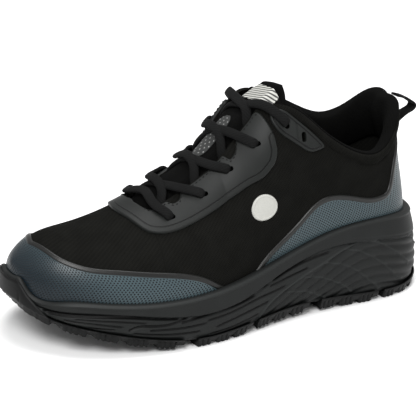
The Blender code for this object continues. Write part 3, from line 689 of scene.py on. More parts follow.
class Value:
    """A socket of a material, with Python's operators for its Math nodes."""

    def __init__(self, paint: "Paint", socket: bpy.types.NodeSocket) -> None:
        """Wraps one output socket."""
        self.paint, self.socket = paint, socket

    def math(self, operation: str, *others: "Value | float", first: bool = True) -> "Value":
        """A Math node of this and other values, with this one first or second."""
        terms = [self, *others] if first else [*others, self]
        return self.paint.node("ShaderNodeMath", {"operation": operation}, *terms)

    def __add__(self, other: "Value | float") -> "Value":
        """Sum."""
        return self.math("ADD", other)

    def __sub__(self, other: "Value | float") -> "Value":
        """Difference."""
        return self.math("SUBTRACT", other)

    def __rsub__(self, other: float) -> "Value":
        """Difference from a number."""
        return self.math("SUBTRACT", other, first=False)

    def __mul__(self, other: "Value | float") -> "Value":
        """Product."""
        return self.math("MULTIPLY", other)

    def __truediv__(self, other: "Value | float") -> "Value":
        """Quotient."""
        return self.math("DIVIDE", other)

    def __pow__(self, other: "Value | float") -> "Value":
        """Power."""
        return self.math("POWER", other)

    __radd__, __rmul__ = __add__, __mul__

    def sine(self) -> "Value":
        """Sine of radians."""
        return self.math("SINE")

    def most(self, other: "Value | float") -> "Value":
        """The larger one."""
        return self.math("MAXIMUM", other)

    def size(self) -> "Value":
        """Without its sign."""
        return self.math("ABSOLUTE")

    def part(self) -> "Value":
        """What is left after the whole number below."""
        return self.math("FRACT")

    def whole(self) -> "Value":
        """The whole number below."""
        return self.math("FLOOR")

    def step(self, start: float, stop: float) -> "Value":
        """0 to 1 without corners as the value goes from start to stop."""
        settings = {"interpolation_type": "SMOOTHSTEP", "clamp": True}
        return self.paint.node("ShaderNodeMapRange", settings, self, start, stop, 0.0, 1.0)


class Paint:
    """One node material: its principled shader and the nodes that feed it."""

    def __init__(self, name: str, roughness: float, specular: float, **extra: float) -> None:
        """Starts a material.

        Args:
            name: its name.
            roughness: its even roughness.
            specular: its specular level.
            extra: other even inputs of the shader, with spaces as underscores.
        """
        self.material = bpy.data.materials.new(name)
        self.material.use_nodes = True
        self.tree = self.material.node_tree
        self.shader = self.tree.nodes["Principled BSDF"]
        self.shader.inputs["Roughness"].default_value = roughness
        self.shader.inputs["Specular IOR Level"].default_value = specular
        for key, value in extra.items():
            self.shader.inputs[key.replace("_", " ")].default_value = value

    def node(
        self,
        kind: str,
        settings: dict[str, object],
        *inputs: "Value | float",
        output: int = 0,
        **named: object,
    ) -> Value:
        """Adds a node.

        Args:
            kind: the node's type.
            settings: its own settings, such as an operation.
            inputs: values or sockets for its first inputs in order.
            output: which output to return.
            named: values or sockets for inputs by name.

        Returns:
            The chosen output.
        """
        made = self.tree.nodes.new(kind)
        for key, value in settings.items():
            setattr(made, key, value)
        for key, value in [*enumerate(inputs), *named.items()]:
            if isinstance(value, Value):
                self.tree.links.new(value.socket, made.inputs[key])
            else:
                made.inputs[key].default_value = value
        return Value(self, made.outputs[output])

    def cloth(self) -> tuple[Value, Value]:
        """The piece's own cloth coordinates in metres."""
        split = self.node("ShaderNodeSeparateXYZ", {}, self.node("ShaderNodeUVMap", {"uv_map": "cloth"}))
        return split, Value(self, split.socket.node.outputs[1])

    def edge(self) -> Value:
        """Distance from the piece's edge in metres."""
        return self.node("ShaderNodeSeparateXYZ", {}, self.node("ShaderNodeUVMap", {"uv_map": "edge"}))

    def place(self) -> tuple[Value, Value, Value]:
        """Object coordinates in metres."""
        split = self.node("ShaderNodeSeparateXYZ", {}, self.node("ShaderNodeTexCoord", {}, output=3))
        return split, Value(self, split.socket.node.outputs[1]), Value(self, split.socket.node.outputs[2])

    def noise(self, size: float, detail: float = 3.0) -> Value:
        """Noise around 0.5 with blots of a size in metres, on object coordinates."""
        spot = self.node("ShaderNodeTexCoord", {}, output=3)
        return self.node("ShaderNodeTexNoise", {}, Vector=spot, Scale=1 / size, Detail=detail)

    def mix(self, share: "Value | float", first: object, second: object) -> Value:
        """Mixes two colours.

        Args:
            share: how much of the second.
            first: one colour.
            second: the other.

        Returns:
            The colour.
        """
        made = self.tree.nodes.new("ShaderNodeMix")
        made.data_type = "RGBA"
        for key, value in ((0, share), (6, first), (7, second)):
            if isinstance(value, Value):
                self.tree.links.new(value.socket, made.inputs[key])
            else:
                made.inputs[key].default_value = value if key == 0 else (*value, 1)
        return Value(self, made.outputs[2])

    def finish(
        self, colour: Value, bumps: Sequence[tuple[Value, float]] = (), roughness: Value | None = None
    ) -> Finish:
        """Feeds the shader.

        Args:
            colour: its base colour.
            bumps: heights from 0 to 1, each with its depth in metres.
            roughness: its varying roughness, if it varies.

        Returns:
            The material.
        """
        self.tree.links.new(colour.socket, self.shader.inputs["Base Color"])
        if roughness:
            self.tree.links.new(roughness.socket, self.shader.inputs["Roughness"])
        normal = None
        for height, depth in bumps:
            made = self.tree.nodes.new("ShaderNodeBump")
            made.inputs["Distance"].default_value = depth
            self.tree.links.new(height.socket, made.inputs["Height"])
            if normal:
                self.tree.links.new(normal, made.inputs["Normal"])
            normal = made.outputs["Normal"]
        if normal:
            self.tree.links.new(normal, self.shader.inputs["Normal"])
        return self.material


@dataclass(frozen=True)
class Weave:
    """Woven or knitted cloth: two crossing sets of threads on cloth coordinates."""

    name: str
    colour: tuple[float, float, float]
    thread: float
    depth: float
    slant: float = 1.0
    roughness: float = 0.9
    specular: float = 0.05

    def make(self) -> Finish:
        """Height is the larger of two sines across the threads; the colour darkens between them as painted
        shade and lightens on their tops as painted highlight.

        Returns:
            The material.
        """
        paint = Paint(self.name, self.roughness, self.specular)
        u, v = paint.cloth()
        rate = 2 * math.pi / self.thread
        one = ((u + v * self.slant) * rate).sine()
        two = ((u * self.slant - v) * (rate * 0.5)).sine()
        height = one.most(two * 0.6) * 0.5 + 0.5
        blot = paint.noise(0.012)
        # painted shade (dark) in the hollows between the threads and painted highlight (light) on their tops,
        # mixed by thread height with a little random blot
        dark = tuple(c * 0.55 for c in self.colour)
        light = tuple(c * 1.3 for c in self.colour)
        share = height * 0.7 + blot.step(0.3, 0.7) * 0.3
        return paint.finish(paint.mix(share, dark, light), [(height, self.depth)])


@dataclass(frozen=True)
class Moulded:
    """Moulded foam, rubber or synthetic skin with a fine grain and faint wear."""

    name: str
    colour: tuple[float, float, float]
    grain: float
    depth: float
    roughness: float
    specular: float
    wear: float = 0.12
    # edge distance of a groove whose shade is painted as a dark line, 0 for none
    line: float = 0.0
    # paints shade into grooves and highlight onto ridges from the edge value
    paints_relief_light: bool = False

    def make(self) -> Finish:
        """Colour and roughness follow two noises; a thin near-black line of painted shade may run in a groove
        at an edge distance.

        On a piece that paints relief light, the edge value is painted light instead: it darkens grooves as
        painted shade and lightens ridges as painted highlight.

        Returns:
            The material.
        """
        paint = Paint(self.name, self.roughness, self.specular)
        fine, broad = paint.noise(self.grain, 2.0), paint.noise(0.02)
        worn = tuple(c * (1 + self.wear * 2) for c in self.colour)
        dull = tuple(c * (1 - self.wear) for c in self.colour)
        colour = paint.mix(broad.step(0.35, 0.65) * 0.6 + fine * 0.4, dull, worn)
        rough = self.roughness + (broad - 0.5) * 0.12
        if self.paints_relief_light:
            painted_light = paint.edge()
            # painted shade: grooves darken towards a twelfth of the colour
            colour = paint.mix((painted_light * -1).step(0.05, 0.9), colour, tuple(c * 0.12 for c in self.colour))
            # painted highlight: ridges and the rim line lighten to twice the colour
            colour = paint.mix(painted_light.step(0.1, 0.95), colour, tuple(c * 2.0 for c in self.colour))
            return paint.finish(colour, [(fine, self.depth)], rough)
        if not self.line:
            return paint.finish(colour, [(fine, self.depth)], rough)
        # painted shade: the groove at the line's edge distance darkens to near black, besides its bump
        near = 1 - (paint.edge() - self.line).size().step(0.22 * MM, 0.5 * MM)
        colour = paint.mix(near, colour, tuple(c * 0.08 for c in self.colour))
        return paint.finish(colour, [(fine, self.depth), (1 - near, 0.3 * MM)], rough)


@dataclass(frozen=True)
class Film:
    """Blue-grey film with rows of small holes, deep blue at the toe, darker lower down as painted shade, and
    a dark border.
    """

    name: str = "overlay_film"
    # colour at the low front of the toe: the film's own deep blue, darkened further as painted shade
    toe: tuple[float, float, float] = (0.0030, 0.0085, 0.0130)
    heel: tuple[float, float, float] = (0.038, 0.059, 0.067)
    border: tuple[float, float, float] = (0.0050, 0.0052, 0.0048)
    hole: tuple[float, float, float] = (0.0025, 0.0035, 0.0042)
    pitch: float = 2.25 * MM
    hole_radius: float = 0.48 * MM
    band: float = 3.3 * MM

    def make(self) -> Finish:
        """Holes stand in a staggered grid on cloth coordinates; the border follows the edge distance.

        Returns:
            The material.
        """
        paint = Paint(self.name, 0.34, 0.26, Coat_Weight=0.05, Coat_Roughness=0.3)
        u, v = paint.cloth()
        edge = paint.edge()
        x, _, z = paint.place()
        row = v / (self.pitch * 0.6)
        shift = row.whole() * 0.5
        across = ((u / self.pitch + shift).part() - 0.5) * self.pitch
        along = (row.part() - 0.5) * (self.pitch * 0.6)
        far = (across * across + along * along) ** 0.5
        inside = edge.step(self.band + 0.4 * MM, self.band + 0.9 * MM)
        hole = (1 - far.step(self.hole_radius * 0.75, self.hole_radius * 1.25)) * inside
        # the film's own tone, deeper towards the toe, and painted shade, darker lower down (z)
        tone_and_shade = (x * 11.0 + z * 9.0).step(-1.15, -0.55)
        base = paint.mix(tone_and_shade + (paint.noise(0.02) - 0.5) * 0.1, self.toe, self.heel)
        base = paint.mix(hole, base, self.hole)
        colour = paint.mix(edge.step(self.band, self.band + 0.5 * MM), self.border, base)
        grain = paint.noise(0.0005, 1.0)
        return paint.finish(colour, [(1 - hole, 0.0004), (grain, 0.00003)], 0.32 + hole * 0.4 + grain * 0.08)


@dataclass(frozen=True)
class Printed:
    """Light grey sheet with plain slanted bars or dots, on cloth coordinates."""

    name: str
    light: tuple[float, float, float] = (0.42, 0.42, 0.39)
    dark: tuple[float, float, float] = (0.02, 0.02, 0.02)
    bar: float = 2.4 * MM
    dots: bool = False
    plain: bool = False

    def make(self) -> Finish:
        """Bars are a sine of u + v / 2; dots are the product of two sines.

        Returns:
            The material.
        """
        paint = Paint(self.name, 0.45, 0.4)
        u, v = paint.cloth()
        rate = 2 * math.pi / self.bar
        if self.dots:
            mask = 1 - ((u * rate * 0.5).sine() * (v * rate * 0.5).sine()).step(0.7, 0.82)
        else:
            mask = ((u + v * 0.5) * rate).sine().step(-0.35, 0.05)
        speck = paint.noise(0.0006, 1.0)
        if self.plain:
            mask = speck * 0.2 + 0.8
        colour = paint.mix(mask, self.dark, self.light)
        return paint.finish(colour, [(mask, 0.00015), (speck, 0.00004)])


# Pieces


def dress(piece: Piece, slot: str, *nodes: str) -> Piece:
    """Lets a piece stand for its nodes and ride on the shoe.

    Args:
        piece: the piece.
        slot: not used.
        nodes: the solids that it stands for.

    Returns:
        The same piece.
    """
    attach(piece, "root")
    if nodes:
        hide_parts(*nodes)
    LOG.info("%s: %d triangles", piece.name, len(piece.data.polygons))
    return piece


@dataclass(frozen=True)
class Groove:
    """A line drawn in the sole's side: width and depth in millimetres, and its points.

    A point is a share of the length and a height as a share of the cup's height.
    """

    width: float
    depth: float
    points: Line


@dataclass
class Sole:
    """The foam midsole with its grooved and folded side, and the rubber pads under it.

    A drawn line's points are shares of the length and of the cup's height, and those of the fold line have
    their height in millimetres. A pad is its start, its end and its number of bars.
    """

    form: Form = FORM
    stations: int = 360
    levels: int = 92
    groove_depth: float = 1.5 * MM
    fold_pitch: float = 6.6 * MM
    fold_depth: float = 0.9 * MM
    fold_line: Line = (
        (0.48, -34.0), (0.55, -22.0), (0.60, -14.5), (0.65, -7.0), (0.70, 0.0),
        (0.73, 4.4), (0.77, 9.0), (0.82, 11.0), (0.88, 9.0), (0.945, 5.5),
        (1.0, 3.0),
    )
    line_width: float = 1.3
    line_depth: float = 1.2
    ridge_height: float = 0.7 * MM
    ridge_width: float = 0.7 * MM
    rim_bead: float = 0.6 * MM
    rim_round: float = 0.7 * MM
    bed_gap: float = 0.1 * MM
    pad_thickness: float = 2.0 * MM
    lug_height: float = 2.6 * MM
    wrap_gap: float = 0.8 * MM
    wrap_thickness: float = 1.2 * MM
    sipe_pitch: float = 3.6 * MM
    sipe_depth: float = 1.3 * MM
    pads: Sequence[tuple[float, float, int]] = (
        (0.000, 0.315, 5), (0.345, 0.486, 3), (0.502, 0.646, 3), (0.678, 0.833, 3),
        (0.850, 1.000, 3),
    )
    wrap_nose: Line = ((0.0, 0.96), (0.010, 0.96), (0.020, 0.92), (0.030, 0.74), (0.042, 0.36), (0.055, 0.07))
    wrap_side: Line = ((0.055, 0.07), (0.60, 0.07), (0.90, 0.04), (1.0, 0.04))
    lead: float = 0.012
    bar_share: float = 0.66
    bar_slope: float = 0.7 * MM
    station_gap: float = 0.55 * MM
    channel: tuple[float, float, float, float] = (0.412, 0.43, 0.55, 0.568)
    zigzag: float = 4.4 * MM
    zigzag_pitch: float = 9 * MM
    sipe_width: float = 0.55 * MM
    pad_sink: float = 0.3 * MM
    pad_clear: float = 0.35 * MM
    tooth: float = 0.8 * MM
    panel: Line = (
        (0.500, 0.05), (0.502, 0.113), (0.511, 0.209), (0.532, 0.300), (0.561, 0.375),
        (0.600, 0.450), (0.645, 0.540), (0.684, 0.610), (0.716, 0.680), (0.749, 0.735),
        (0.792, 0.790), (0.850, 0.850),
    )
    grooves: Sequence[Groove] = (
        Groove(0.55, 0.9, ((0.040, 0.486), (0.110, 0.491), (0.221, 0.455), (0.304, 0.408))),
        Groove(0.50, 0.8, ((0.048, 0.462), (0.138, 0.462), (0.221, 0.425), (0.270, 0.390), (0.300, 0.375))),
        Groove(0.45, 0.7, ((0.095, 0.435), (0.165, 0.410), (0.229, 0.370))),
        Groove(0.45, 0.7, ((0.076, 0.415), (0.126, 0.388), (0.183, 0.345))),
        Groove(0.45, 0.6, ((0.120, 0.345), (0.165, 0.320))),
        Groove(
            0.60,
            1.0,
            (
                (0.334, 0.450), (0.326, 0.400), (0.313, 0.362), (0.295, 0.336), (0.264, 0.322),
                (0.233, 0.335), (0.212, 0.335), (0.197, 0.305),
            ),
        ),
        Groove(0.50, 0.8, ((0.240, 0.280), (0.269, 0.274), (0.310, 0.266), (0.363, 0.275))),
        Groove(0.50, 0.8, ((0.206, 0.262), (0.264, 0.218), (0.347, 0.197))),
        Groove(0.60, 1.0, ((0.327, 0.390), (0.398, 0.423), (0.474, 0.458), (0.500, 0.490), (0.532, 0.520))),
        Groove(0.55, 0.9, ((0.310, 0.325), (0.384, 0.372), (0.449, 0.400), (0.495, 0.438))),
        Groove(0.50, 0.8, ((0.370, 0.300), (0.430, 0.330), (0.507, 0.397), (0.542, 0.415), (0.577, 0.442))),
        Groove(0.50, 0.8, ((0.391, 0.209), (0.447, 0.259), (0.487, 0.291), (0.528, 0.320))),
        Groove(0.45, 0.7, ((0.377, 0.130), (0.430, 0.150), (0.475, 0.190), (0.500, 0.214))),
        Groove(0.60, 1.0, ((0.552, 0.551), (0.577, 0.585), (0.608, 0.628), (0.651, 0.676), (0.699, 0.712))),
        Groove(0.50, 0.8, ((0.540, 0.491), (0.575, 0.518), (0.607, 0.548), (0.640, 0.579))),
    )
    ridges: Sequence[Line] = (
        (
            (0.737, 0.715), (0.755, 0.700), (0.775, 0.672), (0.810, 0.577), (0.845, 0.450),
            (0.880, 0.277), (0.902, 0.187),
        ),
        ((0.685, 0.600), (0.715, 0.573), (0.743, 0.521), (0.780, 0.400), (0.812, 0.255), (0.836, 0.149)),
        ((0.633, 0.485), (0.655, 0.470), (0.672, 0.448), (0.706, 0.370), (0.736, 0.286), (0.761, 0.167)),
        ((0.583, 0.370), (0.602, 0.350), (0.621, 0.332), (0.655, 0.271), (0.690, 0.162)),
        ((0.785, 0.770), (0.810, 0.755), (0.831, 0.724), (0.862, 0.636), (0.894, 0.515), (0.927, 0.352)),
        ((0.870, 0.760), (0.900, 0.740), (0.930, 0.690), (0.955, 0.600), (0.975, 0.500)),
    )

    def run(self, around: Array, side: Side) -> Array:
        """Length along the sole's edge from the toe to each station.

        Args:
            around: stations.
            side: which side.

        Returns:
            The length in metres.
        """
        fine = np.linspace(0, 1, 1200)
        edge, _ = self.form.outline(fine, side)
        return np.interp(around, fine, run_of(edge))

    def drawn(self, line: Line, side: Side) -> Array:
        """A line of the side wall in metres along the edge and metres up, rounded by a spline.

        Args:
            line: shares of the length and of the cup's height.
            side: which side.

        Returns:
            Points (n, 2).
        """
        share, height = np.array(line).T
        points = np.stack([self.run(turn(share), side), height * self.form.cup_height], -1)
        return through(np.column_stack([points, 0 * share]), 12 * len(line))[:, :2]

    def relief(self, around: Array, level: Array, side: Side) -> tuple[Array, Array]:
        """How far the side wall stands out: a step under the band, drawn grooves, folds and thin ridges.

        The folds are squared cosines of (z - g(share)) over their pitch, where g is the folds' own line. The
        second value is painted light for the finish, -1 in a groove and 1 on a ridge: painted shade in the
        grooves and fold hollows, painted highlight on the ridges and along the rim.

        Args:
            around: stations.
            level: share of the wall's height.
            side: which side.

        Returns:
            How far the wall stands out, and the painted light value.
        """
        form = self.form
        base, rim = SOLE.at("base", around) * form.cup_height, SOLE.at("rim", around) * form.cup_height
        z = base + (rim - base) * level
        s = self.run(around, side) + 0 * level
        spot = np.stack([s, z], -1)
        high = (level - SOLE.at("band", around)) * (rim - base)
        below = 1 - smooth(high, -0.3 * MM, 0.9 * MM)
        out = -self.groove_depth * (0.5 * below + 0.5 * bell(high + 0.9 * MM, 0.8 * MM))
        out = out - 0.4 * MM * bell(high - 1.6 * MM, 0.7 * MM) * smooth(share_of(around), 0.5, 0.8)
        out = out + self.rim_bead * bell(rim - z - 0.9 * MM, 0.8 * MM)
        # painted highlight: a light line just under the rim, from the toe on
        painted_light = 0.8 * bell(rim - z - 0.4 * MM, 0.9 * MM) * smooth(share_of(around), 0.03, 0.08)
        for groove in self.grooves:
            far = away(spot, self.drawn(groove.points, side))
            cut = bell(far, groove.width * MM * self.line_width) * below
            # painted shade: the colour darkens in each groove
            out, painted_light = out - groove.depth * MM * self.line_depth * cut, painted_light - 1.3 * cut
        front = self.drawn(self.panel, side)
        order = np.argsort(front[:, 1])
        start = np.interp(z, front[order, 1], front[order, 0])
        inside = smooth(s - start, 0.3 * MM, 3.5 * MM) * smooth(-high, 0.8 * MM, 2.6 * MM)
        places, heights = np.array(self.fold_line).T
        fan = spline(turn(places), heights * MM, around)
        fold = np.cos(math.pi * (z - fan) / self.fold_pitch) ** 2
        out = out - self.fold_depth * fold**1.5 * inside
        rise = bell(away(spot, front), 0.8 * MM) * (-high > 1.0 * MM)
        for line in self.ridges:
            rise = np.maximum(rise, bell(away(spot, self.drawn(line, side)), self.ridge_width))
        rise = rise * (high < 0)
        # painted shade in the fold hollows, painted highlight on the ridges and along the front panel's edge
        painted_light = painted_light - 0.45 * fold**3 * inside + rise
        return out + self.ridge_height * rise, painted_light

    def midsole(self, finish: Finish) -> None:
        """The foam: one closed profile per station, from under the foot over the rim to the bed.

        Args:
            finish: its material.
        """
        form = self.form
        around = np.linspace(0, 1, self.stations)
        level = np.linspace(0, 1, self.levels)
        inward = np.array([0.0, 0.3, 0.6, 0.85])[None, :, None]
        grids = []
        for side in Side:
            out, painted_light = self.relief(around[:, None], level[None, :], side)
            wall = form.sole_side(around[:, None], level[None, :], side, out)
            other, _ = self.relief(around[:, None], np.zeros((1, 1)), side.other)
            foot, far = wall[:, 0], form.sole_side(around, np.zeros_like(around), side.other, other[:, 0])
            middle = (foot + far) / 2
            under = middle[:, None] + inward * (foot - middle)[:, None]
            top = form.rim_up(around, side)
            up = top[:, None] * np.linspace(1, 0, 8)[None, :]
            inner = form.lifted(around[:, None], up, side, self.bed_gap)
            inner[:, 0, 2] = form.cup_height * SOLE.at("rim", around)
            lip = wall[:, -1]
            across = inner[:, 0] - lip
            crown = [(part, [0, 0, self.rim_round * math.sin(math.pi * part)]) for part in (0.2, 0.5, 0.8)]
            round_over = np.stack([lip + across * part + rise for part, rise in crown], 1)
            bed, far_bed = (form.lifted(around, 0, which, self.bed_gap) for which in (side, side.other))
            centre = (bed + far_bed) / 2
            over = centre[:, None] + np.array([0.7, 0.35, 0.0])[None, :, None] * (bed - centre)[:, None]
            points = np.concatenate([under, wall, round_over, inner, over], 1)
            # the wall's rows carry relief()'s painted shade and highlight as the third cloth value
            painted_lights = np.zeros(points.shape[:2])
            painted_lights[:, under.shape[1] : under.shape[1] + len(level)] = painted_light
            grids.append((points, np.dstack([grid_uv(points), painted_lights]), side is Side.MEDIAL))
        dress(skin("midsole_foam", grids, finish), "midsole_foam", "midsole")

    def lugs(self, number: int) -> tuple[Array, Array]:
        """Stations of a pad and its bars at each: 1 on a bar and 0 between them.

        Args:
            number: which pad.

        Returns:
            The stations and the bars.
        """
        start, stop, bars = self.pads[number]
        at_toe, at_heel = start <= 0, stop >= 1
        first, last = start + self.lead * at_toe, stop - self.lead * at_heel
        share = np.linspace(start, stop, int((stop - start) * self.form.sole_length / self.station_gap))
        ends = self.lead * np.linspace(0, 1, 12) ** 2
        share = np.unique(np.concatenate([share, start + ends * at_toe, stop - ends * at_heel]))
        pitch = (last - first) / bars
        part = np.clip((share - first) / pitch, 0, bars - 1e-6) % 1
        soft = self.bar_slope / self.form.sole_length / pitch
        after = smooth(part, self.bar_share, self.bar_share + soft)
        bar = np.minimum(smooth(part, -soft, soft * 0.1), 1 - after)
        inside = (share >= first) & (share <= last)
        return turn(share), bar * inside

    def pad(self, number: int, finish: Finish) -> None:
        """One rubber pad: bars cut by a channel on each side and by fine zigzag sipes.

        Args:
            number: which pad.
            finish: its material.
        """
        form = self.form
        around, bar = self.lugs(number)
        share = share_of(around)
        rows = np.unique(np.concatenate([np.linspace(0, 1, 31), [0.415, 0.425, 0.555, 0.565]]))
        channel = smooth(rows, *self.channel[:2]) * (1 - smooth(rows, *self.channel[2:]))
        patches = []
        for side in Side:
            other = side.other
            top, far_top = (form.sole_side(around, 0 * around, which, 0.0) for which in (side, other))
            proud = self.pad_thickness / 2
            low, far_low = (form.sole_side(around, 0 * around, which, proud) for which in (side, other))
            middle, far_middle = (top + far_top) / 2, (low + far_low) / 2
            inner = middle[:, None] + rows[None, :, None] * (top - middle)[:, None] - [0, 0, self.pad_sink]
            outer = far_middle[:, None] + rows[None, :, None] * (low - far_middle)[:, None]
            zigzag = np.abs((outer[..., 1] / self.zigzag_pitch) % 1 - 0.5) * self.zigzag
            phase = ((outer[..., 0] + zigzag) / self.sipe_pitch) % 1
            sipe = bell(np.abs(phase - 0.5) * self.sipe_pitch, self.sipe_width)
            height = bar[:, None] * (1 - channel[None, :])
            cut = self.sipe_depth * sipe * height
            depth = self.pad_thickness + self.lug_height * height - cut
            outer[..., 2] = np.maximum(outer[..., 2] - self.pad_clear - depth, cut)
            nose, nose_level = np.array(self.wrap_nose).T
            over = np.clip(spline(turn(nose), nose_level, around), nose_level[-1], nose_level[0])
            wrap = np.where(share < nose[-1], over, np.interp(share, *np.array(self.wrap_side).T))
            count = 30 if number == 0 else 6
            part = np.arange(1, count + 1) / count
            level = wrap[:, None] * part[None, :]
            at = np.broadcast_to(around[:, None], level.shape)
            tooth = sipe[:, -1:] * height[:, -1:] * np.linspace(1, 0, count)[None, :] ** 2 * self.tooth
            edge_round = 1 - 0.45 * smooth(part, 1 - 3 / count, 1)[None, :]
            up = form.sole_side(at, level, side, self.wrap_gap)
            thick = self.wrap_gap + self.wrap_thickness * edge_round - tooth
            face = form.sole_side(at, level, side, thick)
            points, under = np.concatenate([outer, face], 1), np.concatenate([inner, up], 1)
            patches.append(Patch(under, points, grid_uv(points), side is Side.MEDIAL))
        name = f"outsole_{number + 1}"
        dress(shell(f"{name}_rubber", patches, finish, 35), "outsole_rubber", name)

    def build(self) -> None:
        """Makes the midsole and its five pads."""
        grey, black = (0.0072, 0.0080, 0.0078), (0.0030, 0.0032, 0.0032)
        # the foam's finish paints shade into its grooves and highlight onto its ridges and rim
        self.midsole(Moulded("midsole_foam", grey, 0.7 * MM, 0.08 * MM, 0.52, 0.16, paints_relief_light=True).make())
        rubber = Moulded("outsole_rubber", black, 0.5 * MM, 0.08 * MM, 0.5, 0.14).make()
        for number in range(len(self.pads)):
            self.pad(number, rubber)


@dataclass
class Upper:
    """The cloth upper, its films, the eyestay with its tabs, and their stitches.

    An edge line's points are shares of the length and of the section. A notch is its place, its half width
    and its depth, and the badge's place is its share, its level and half of its two sizes.
    """

    form: Form = FORM
    film: float = 0.8 * MM
    film_round: float = 0.9 * MM
    border: float = 0.45 * MM
    film_margin: float = 3.0 * MM
    film_under: float = 1.5 * MM
    eyestay: float = 1.9 * MM
    stay_round: float = 1.2 * MM
    tab_height: float = 1.7 * MM
    tab_round: float = 1.1 * MM
    tab_crease: float = 0.5 * MM
    crease_share: float = 0.629
    roll_height: float = 1.3 * MM
    roll_width: float = 6 * MM
    roll_groove: float = 0.6 * MM
    badge_height: float = 0.5 * MM
    badge_rim: float = 0.35 * MM
    badge_place: tuple[float, float, float, float] = (0.539, 0.388, 0.030, 0.070)
    stitch: float = 1.9 * MM
    stitch_pitch: float = 2.9 * MM
    stitch_inset: float = 2.3 * MM
    thread: float = 0.36 * MM
    slot_length: float = 6.6 * MM
    slot_width: float = 3.4 * MM
    toe_top: Line = (
        (0.050, 1.00), (0.058, 0.80), (0.076, 0.58), (0.101, 0.465), (0.136, 0.40),
        (0.189, 0.356), (0.246, 0.305), (0.318, 0.236), (0.351, 0.196), (0.382, 0.147),
        (0.407, 0.097), (0.429, 0.055), (0.450, 0.020),
    )
    heel_top: Line = (
        (0.500, 0.030), (0.518, 0.058), (0.547, 0.108), (0.571, 0.141), (0.609, 0.208),
        (0.640, 0.292), (0.668, 0.380), (0.698, 0.455), (0.729, 0.505), (0.786, 0.528),
        (0.835, 0.504), (0.869, 0.494), (0.894, 0.514), (0.912, 0.600), (0.935, 0.690),
        (0.970, 0.735), (1.000, 0.740),
    )
    stay_outer: Line = (
        (0.243, 1.000), (0.252, 0.825), (0.265, 0.690), (0.283, 0.614), (0.308, 0.568),
        (0.334, 0.546), (0.371, 0.532), (0.415, 0.522), (0.458, 0.510), (0.490, 0.511),
        (0.517, 0.526), (0.542, 0.558), (0.561, 0.622), (0.571, 0.675), (0.5765, 0.730),
    )
    scallop_depth: float = 1.6 * MM
    notches: Sequence[tuple[float, float, float]] = ((0.356, 0.0135, 4.8 * MM), (0.493, 0.0125, 8.0 * MM))
    stay_inner: Line = (
        (0.549, 1.0), (0.557, 0.985), (0.563, 0.955), (0.569, 0.905), (0.574, 0.85),
        (0.5765, 0.80),
    )
    tab_edges: Sequence[tuple[float, float, float]] = (
        (0.5755, 0.918, 0.918), (0.581, 0.862, 0.960), (0.592, 0.825, 0.974), (0.606, 0.803, 0.970),
        (0.629, 0.780, 0.942), (0.650, 0.771, 0.929), (0.668, 0.788, 0.922), (0.686, 0.835, 0.918),
        (0.701, 0.897, 0.897),
    )

    def stations(self) -> Array:
        """Ring stations of the cloth, closer at the start of the throat."""
        near = turn(self.form.throat_start + THROAT_STEPS)
        return np.unique(np.concatenate([np.linspace(0, 1, 236), near]))

    def cloth(self, finish: Finish) -> Piece:
        """The upper's wall, with a rolled collar edge above a stitched groove.

        Args:
            finish: its material.

        Returns:
            The piece.
        """
        form, patches = self.form, []
        around = self.stations()
        rows = np.linspace(0, 1, 60)
        for side in Side:
            up = form.edge(around, side)[:, None] * rows[None, :]
            flat = form.section(around[:, None], up, side)
            run = run_of(flat, 1)
            under = run[:, -1:] - run
            collar = smooth(share_of(around), form.throat_end - 0.03, form.throat_end + 0.06)[:, None]
            over = np.clip(1 - (under / self.roll_width - 0.5) ** 2 * 4, 0, 1)
            roll = np.sqrt(over) * (under < self.roll_width)
            groove = bell(under - self.roll_width - 1.2 * MM, 0.6 * MM)
            lift = collar * (self.roll_height * roll - self.roll_groove * groove)
            seam = form.lifted(around[:, None], up, side, lift)
            inside = form.lifted(around[:, None], up, side, -form.wall)
            uv = np.stack([run_of(flat[:, 24])[:, None] + 0 * run, run], -1)
            patches.append(Patch(inside, seam, uv, side is Side.MEDIAL))
        return dress(shell("upper_cloth", patches, finish), "upper_fabric", "upper")

    def film_piece(self, name: str, line: Line, shares: tuple[float, float], finish: Finish) -> None:
        """A film along the sole's rim up to a line, with a raised dark border along its free edge.

        The line is a spline over the root of the share past its start, so that it crosses the toe squarely.

        Args:
            name: its name.
            line: its free edge.
            shares: where it starts and ends along the shoe.
            finish: its material.
        """
        form, patches = self.form, []
        first, last = shares
        start, top = line[0]
        inner = start + np.linspace(0, math.sqrt(line[-1][0] - start), 150) ** 2
        around = turn(np.unique(np.concatenate([np.linspace(first, last, 170), inner[inner < last]])))
        if first <= 0:
            around = np.unique(np.concatenate([around, np.linspace(0, turn(0.05), 40)]))
        at = share_of(around)
        level = np.where(at <= start, top, rooted(line, at))
        last_rows = 1 - 0.2 * np.cos(np.linspace(0, math.pi / 2, 20))[1:]
        rows = np.concatenate([np.linspace(0, 0.8, 22), last_rows])
        rims = []
        for side in Side:
            rim = form.rim_up(around, side, -self.film_under)
            extend = self.film_margin / np.maximum(form.girth(around, side, 20), MM)
            stop = np.where(level < 1, np.clip(level + extend, rim + 0.002, 1), 1)
            rims.append((rim, stop))
        edge = [form.section(around, stop, side)[stop < 1 - 1e-9] for side, (_, stop) in zip(Side, rims)]
        for side, (rim, stop) in zip(Side, rims):
            up = rim[:, None] + (stop - rim)[:, None] * rows[None, :]
            flat = form.section(around[:, None], up, side)
            far = np.minimum(*[away(flat, line_points) for line_points in edge])
            bead = smooth(far, 0.2 * MM, 1.0 * MM) * (1 - smooth(far, 2.8 * MM, 3.6 * MM))
            height = self.film * rounded(far, self.film_round) + self.border * bead
            uv = np.stack([run_of(flat), run_of(flat, 1), far], -1)
            patches.append(form.overlay(around, up, side, height + form.overlay_gap, uv))
        dress(shell(f"{name}_film", patches, finish), "overlay_film", name)

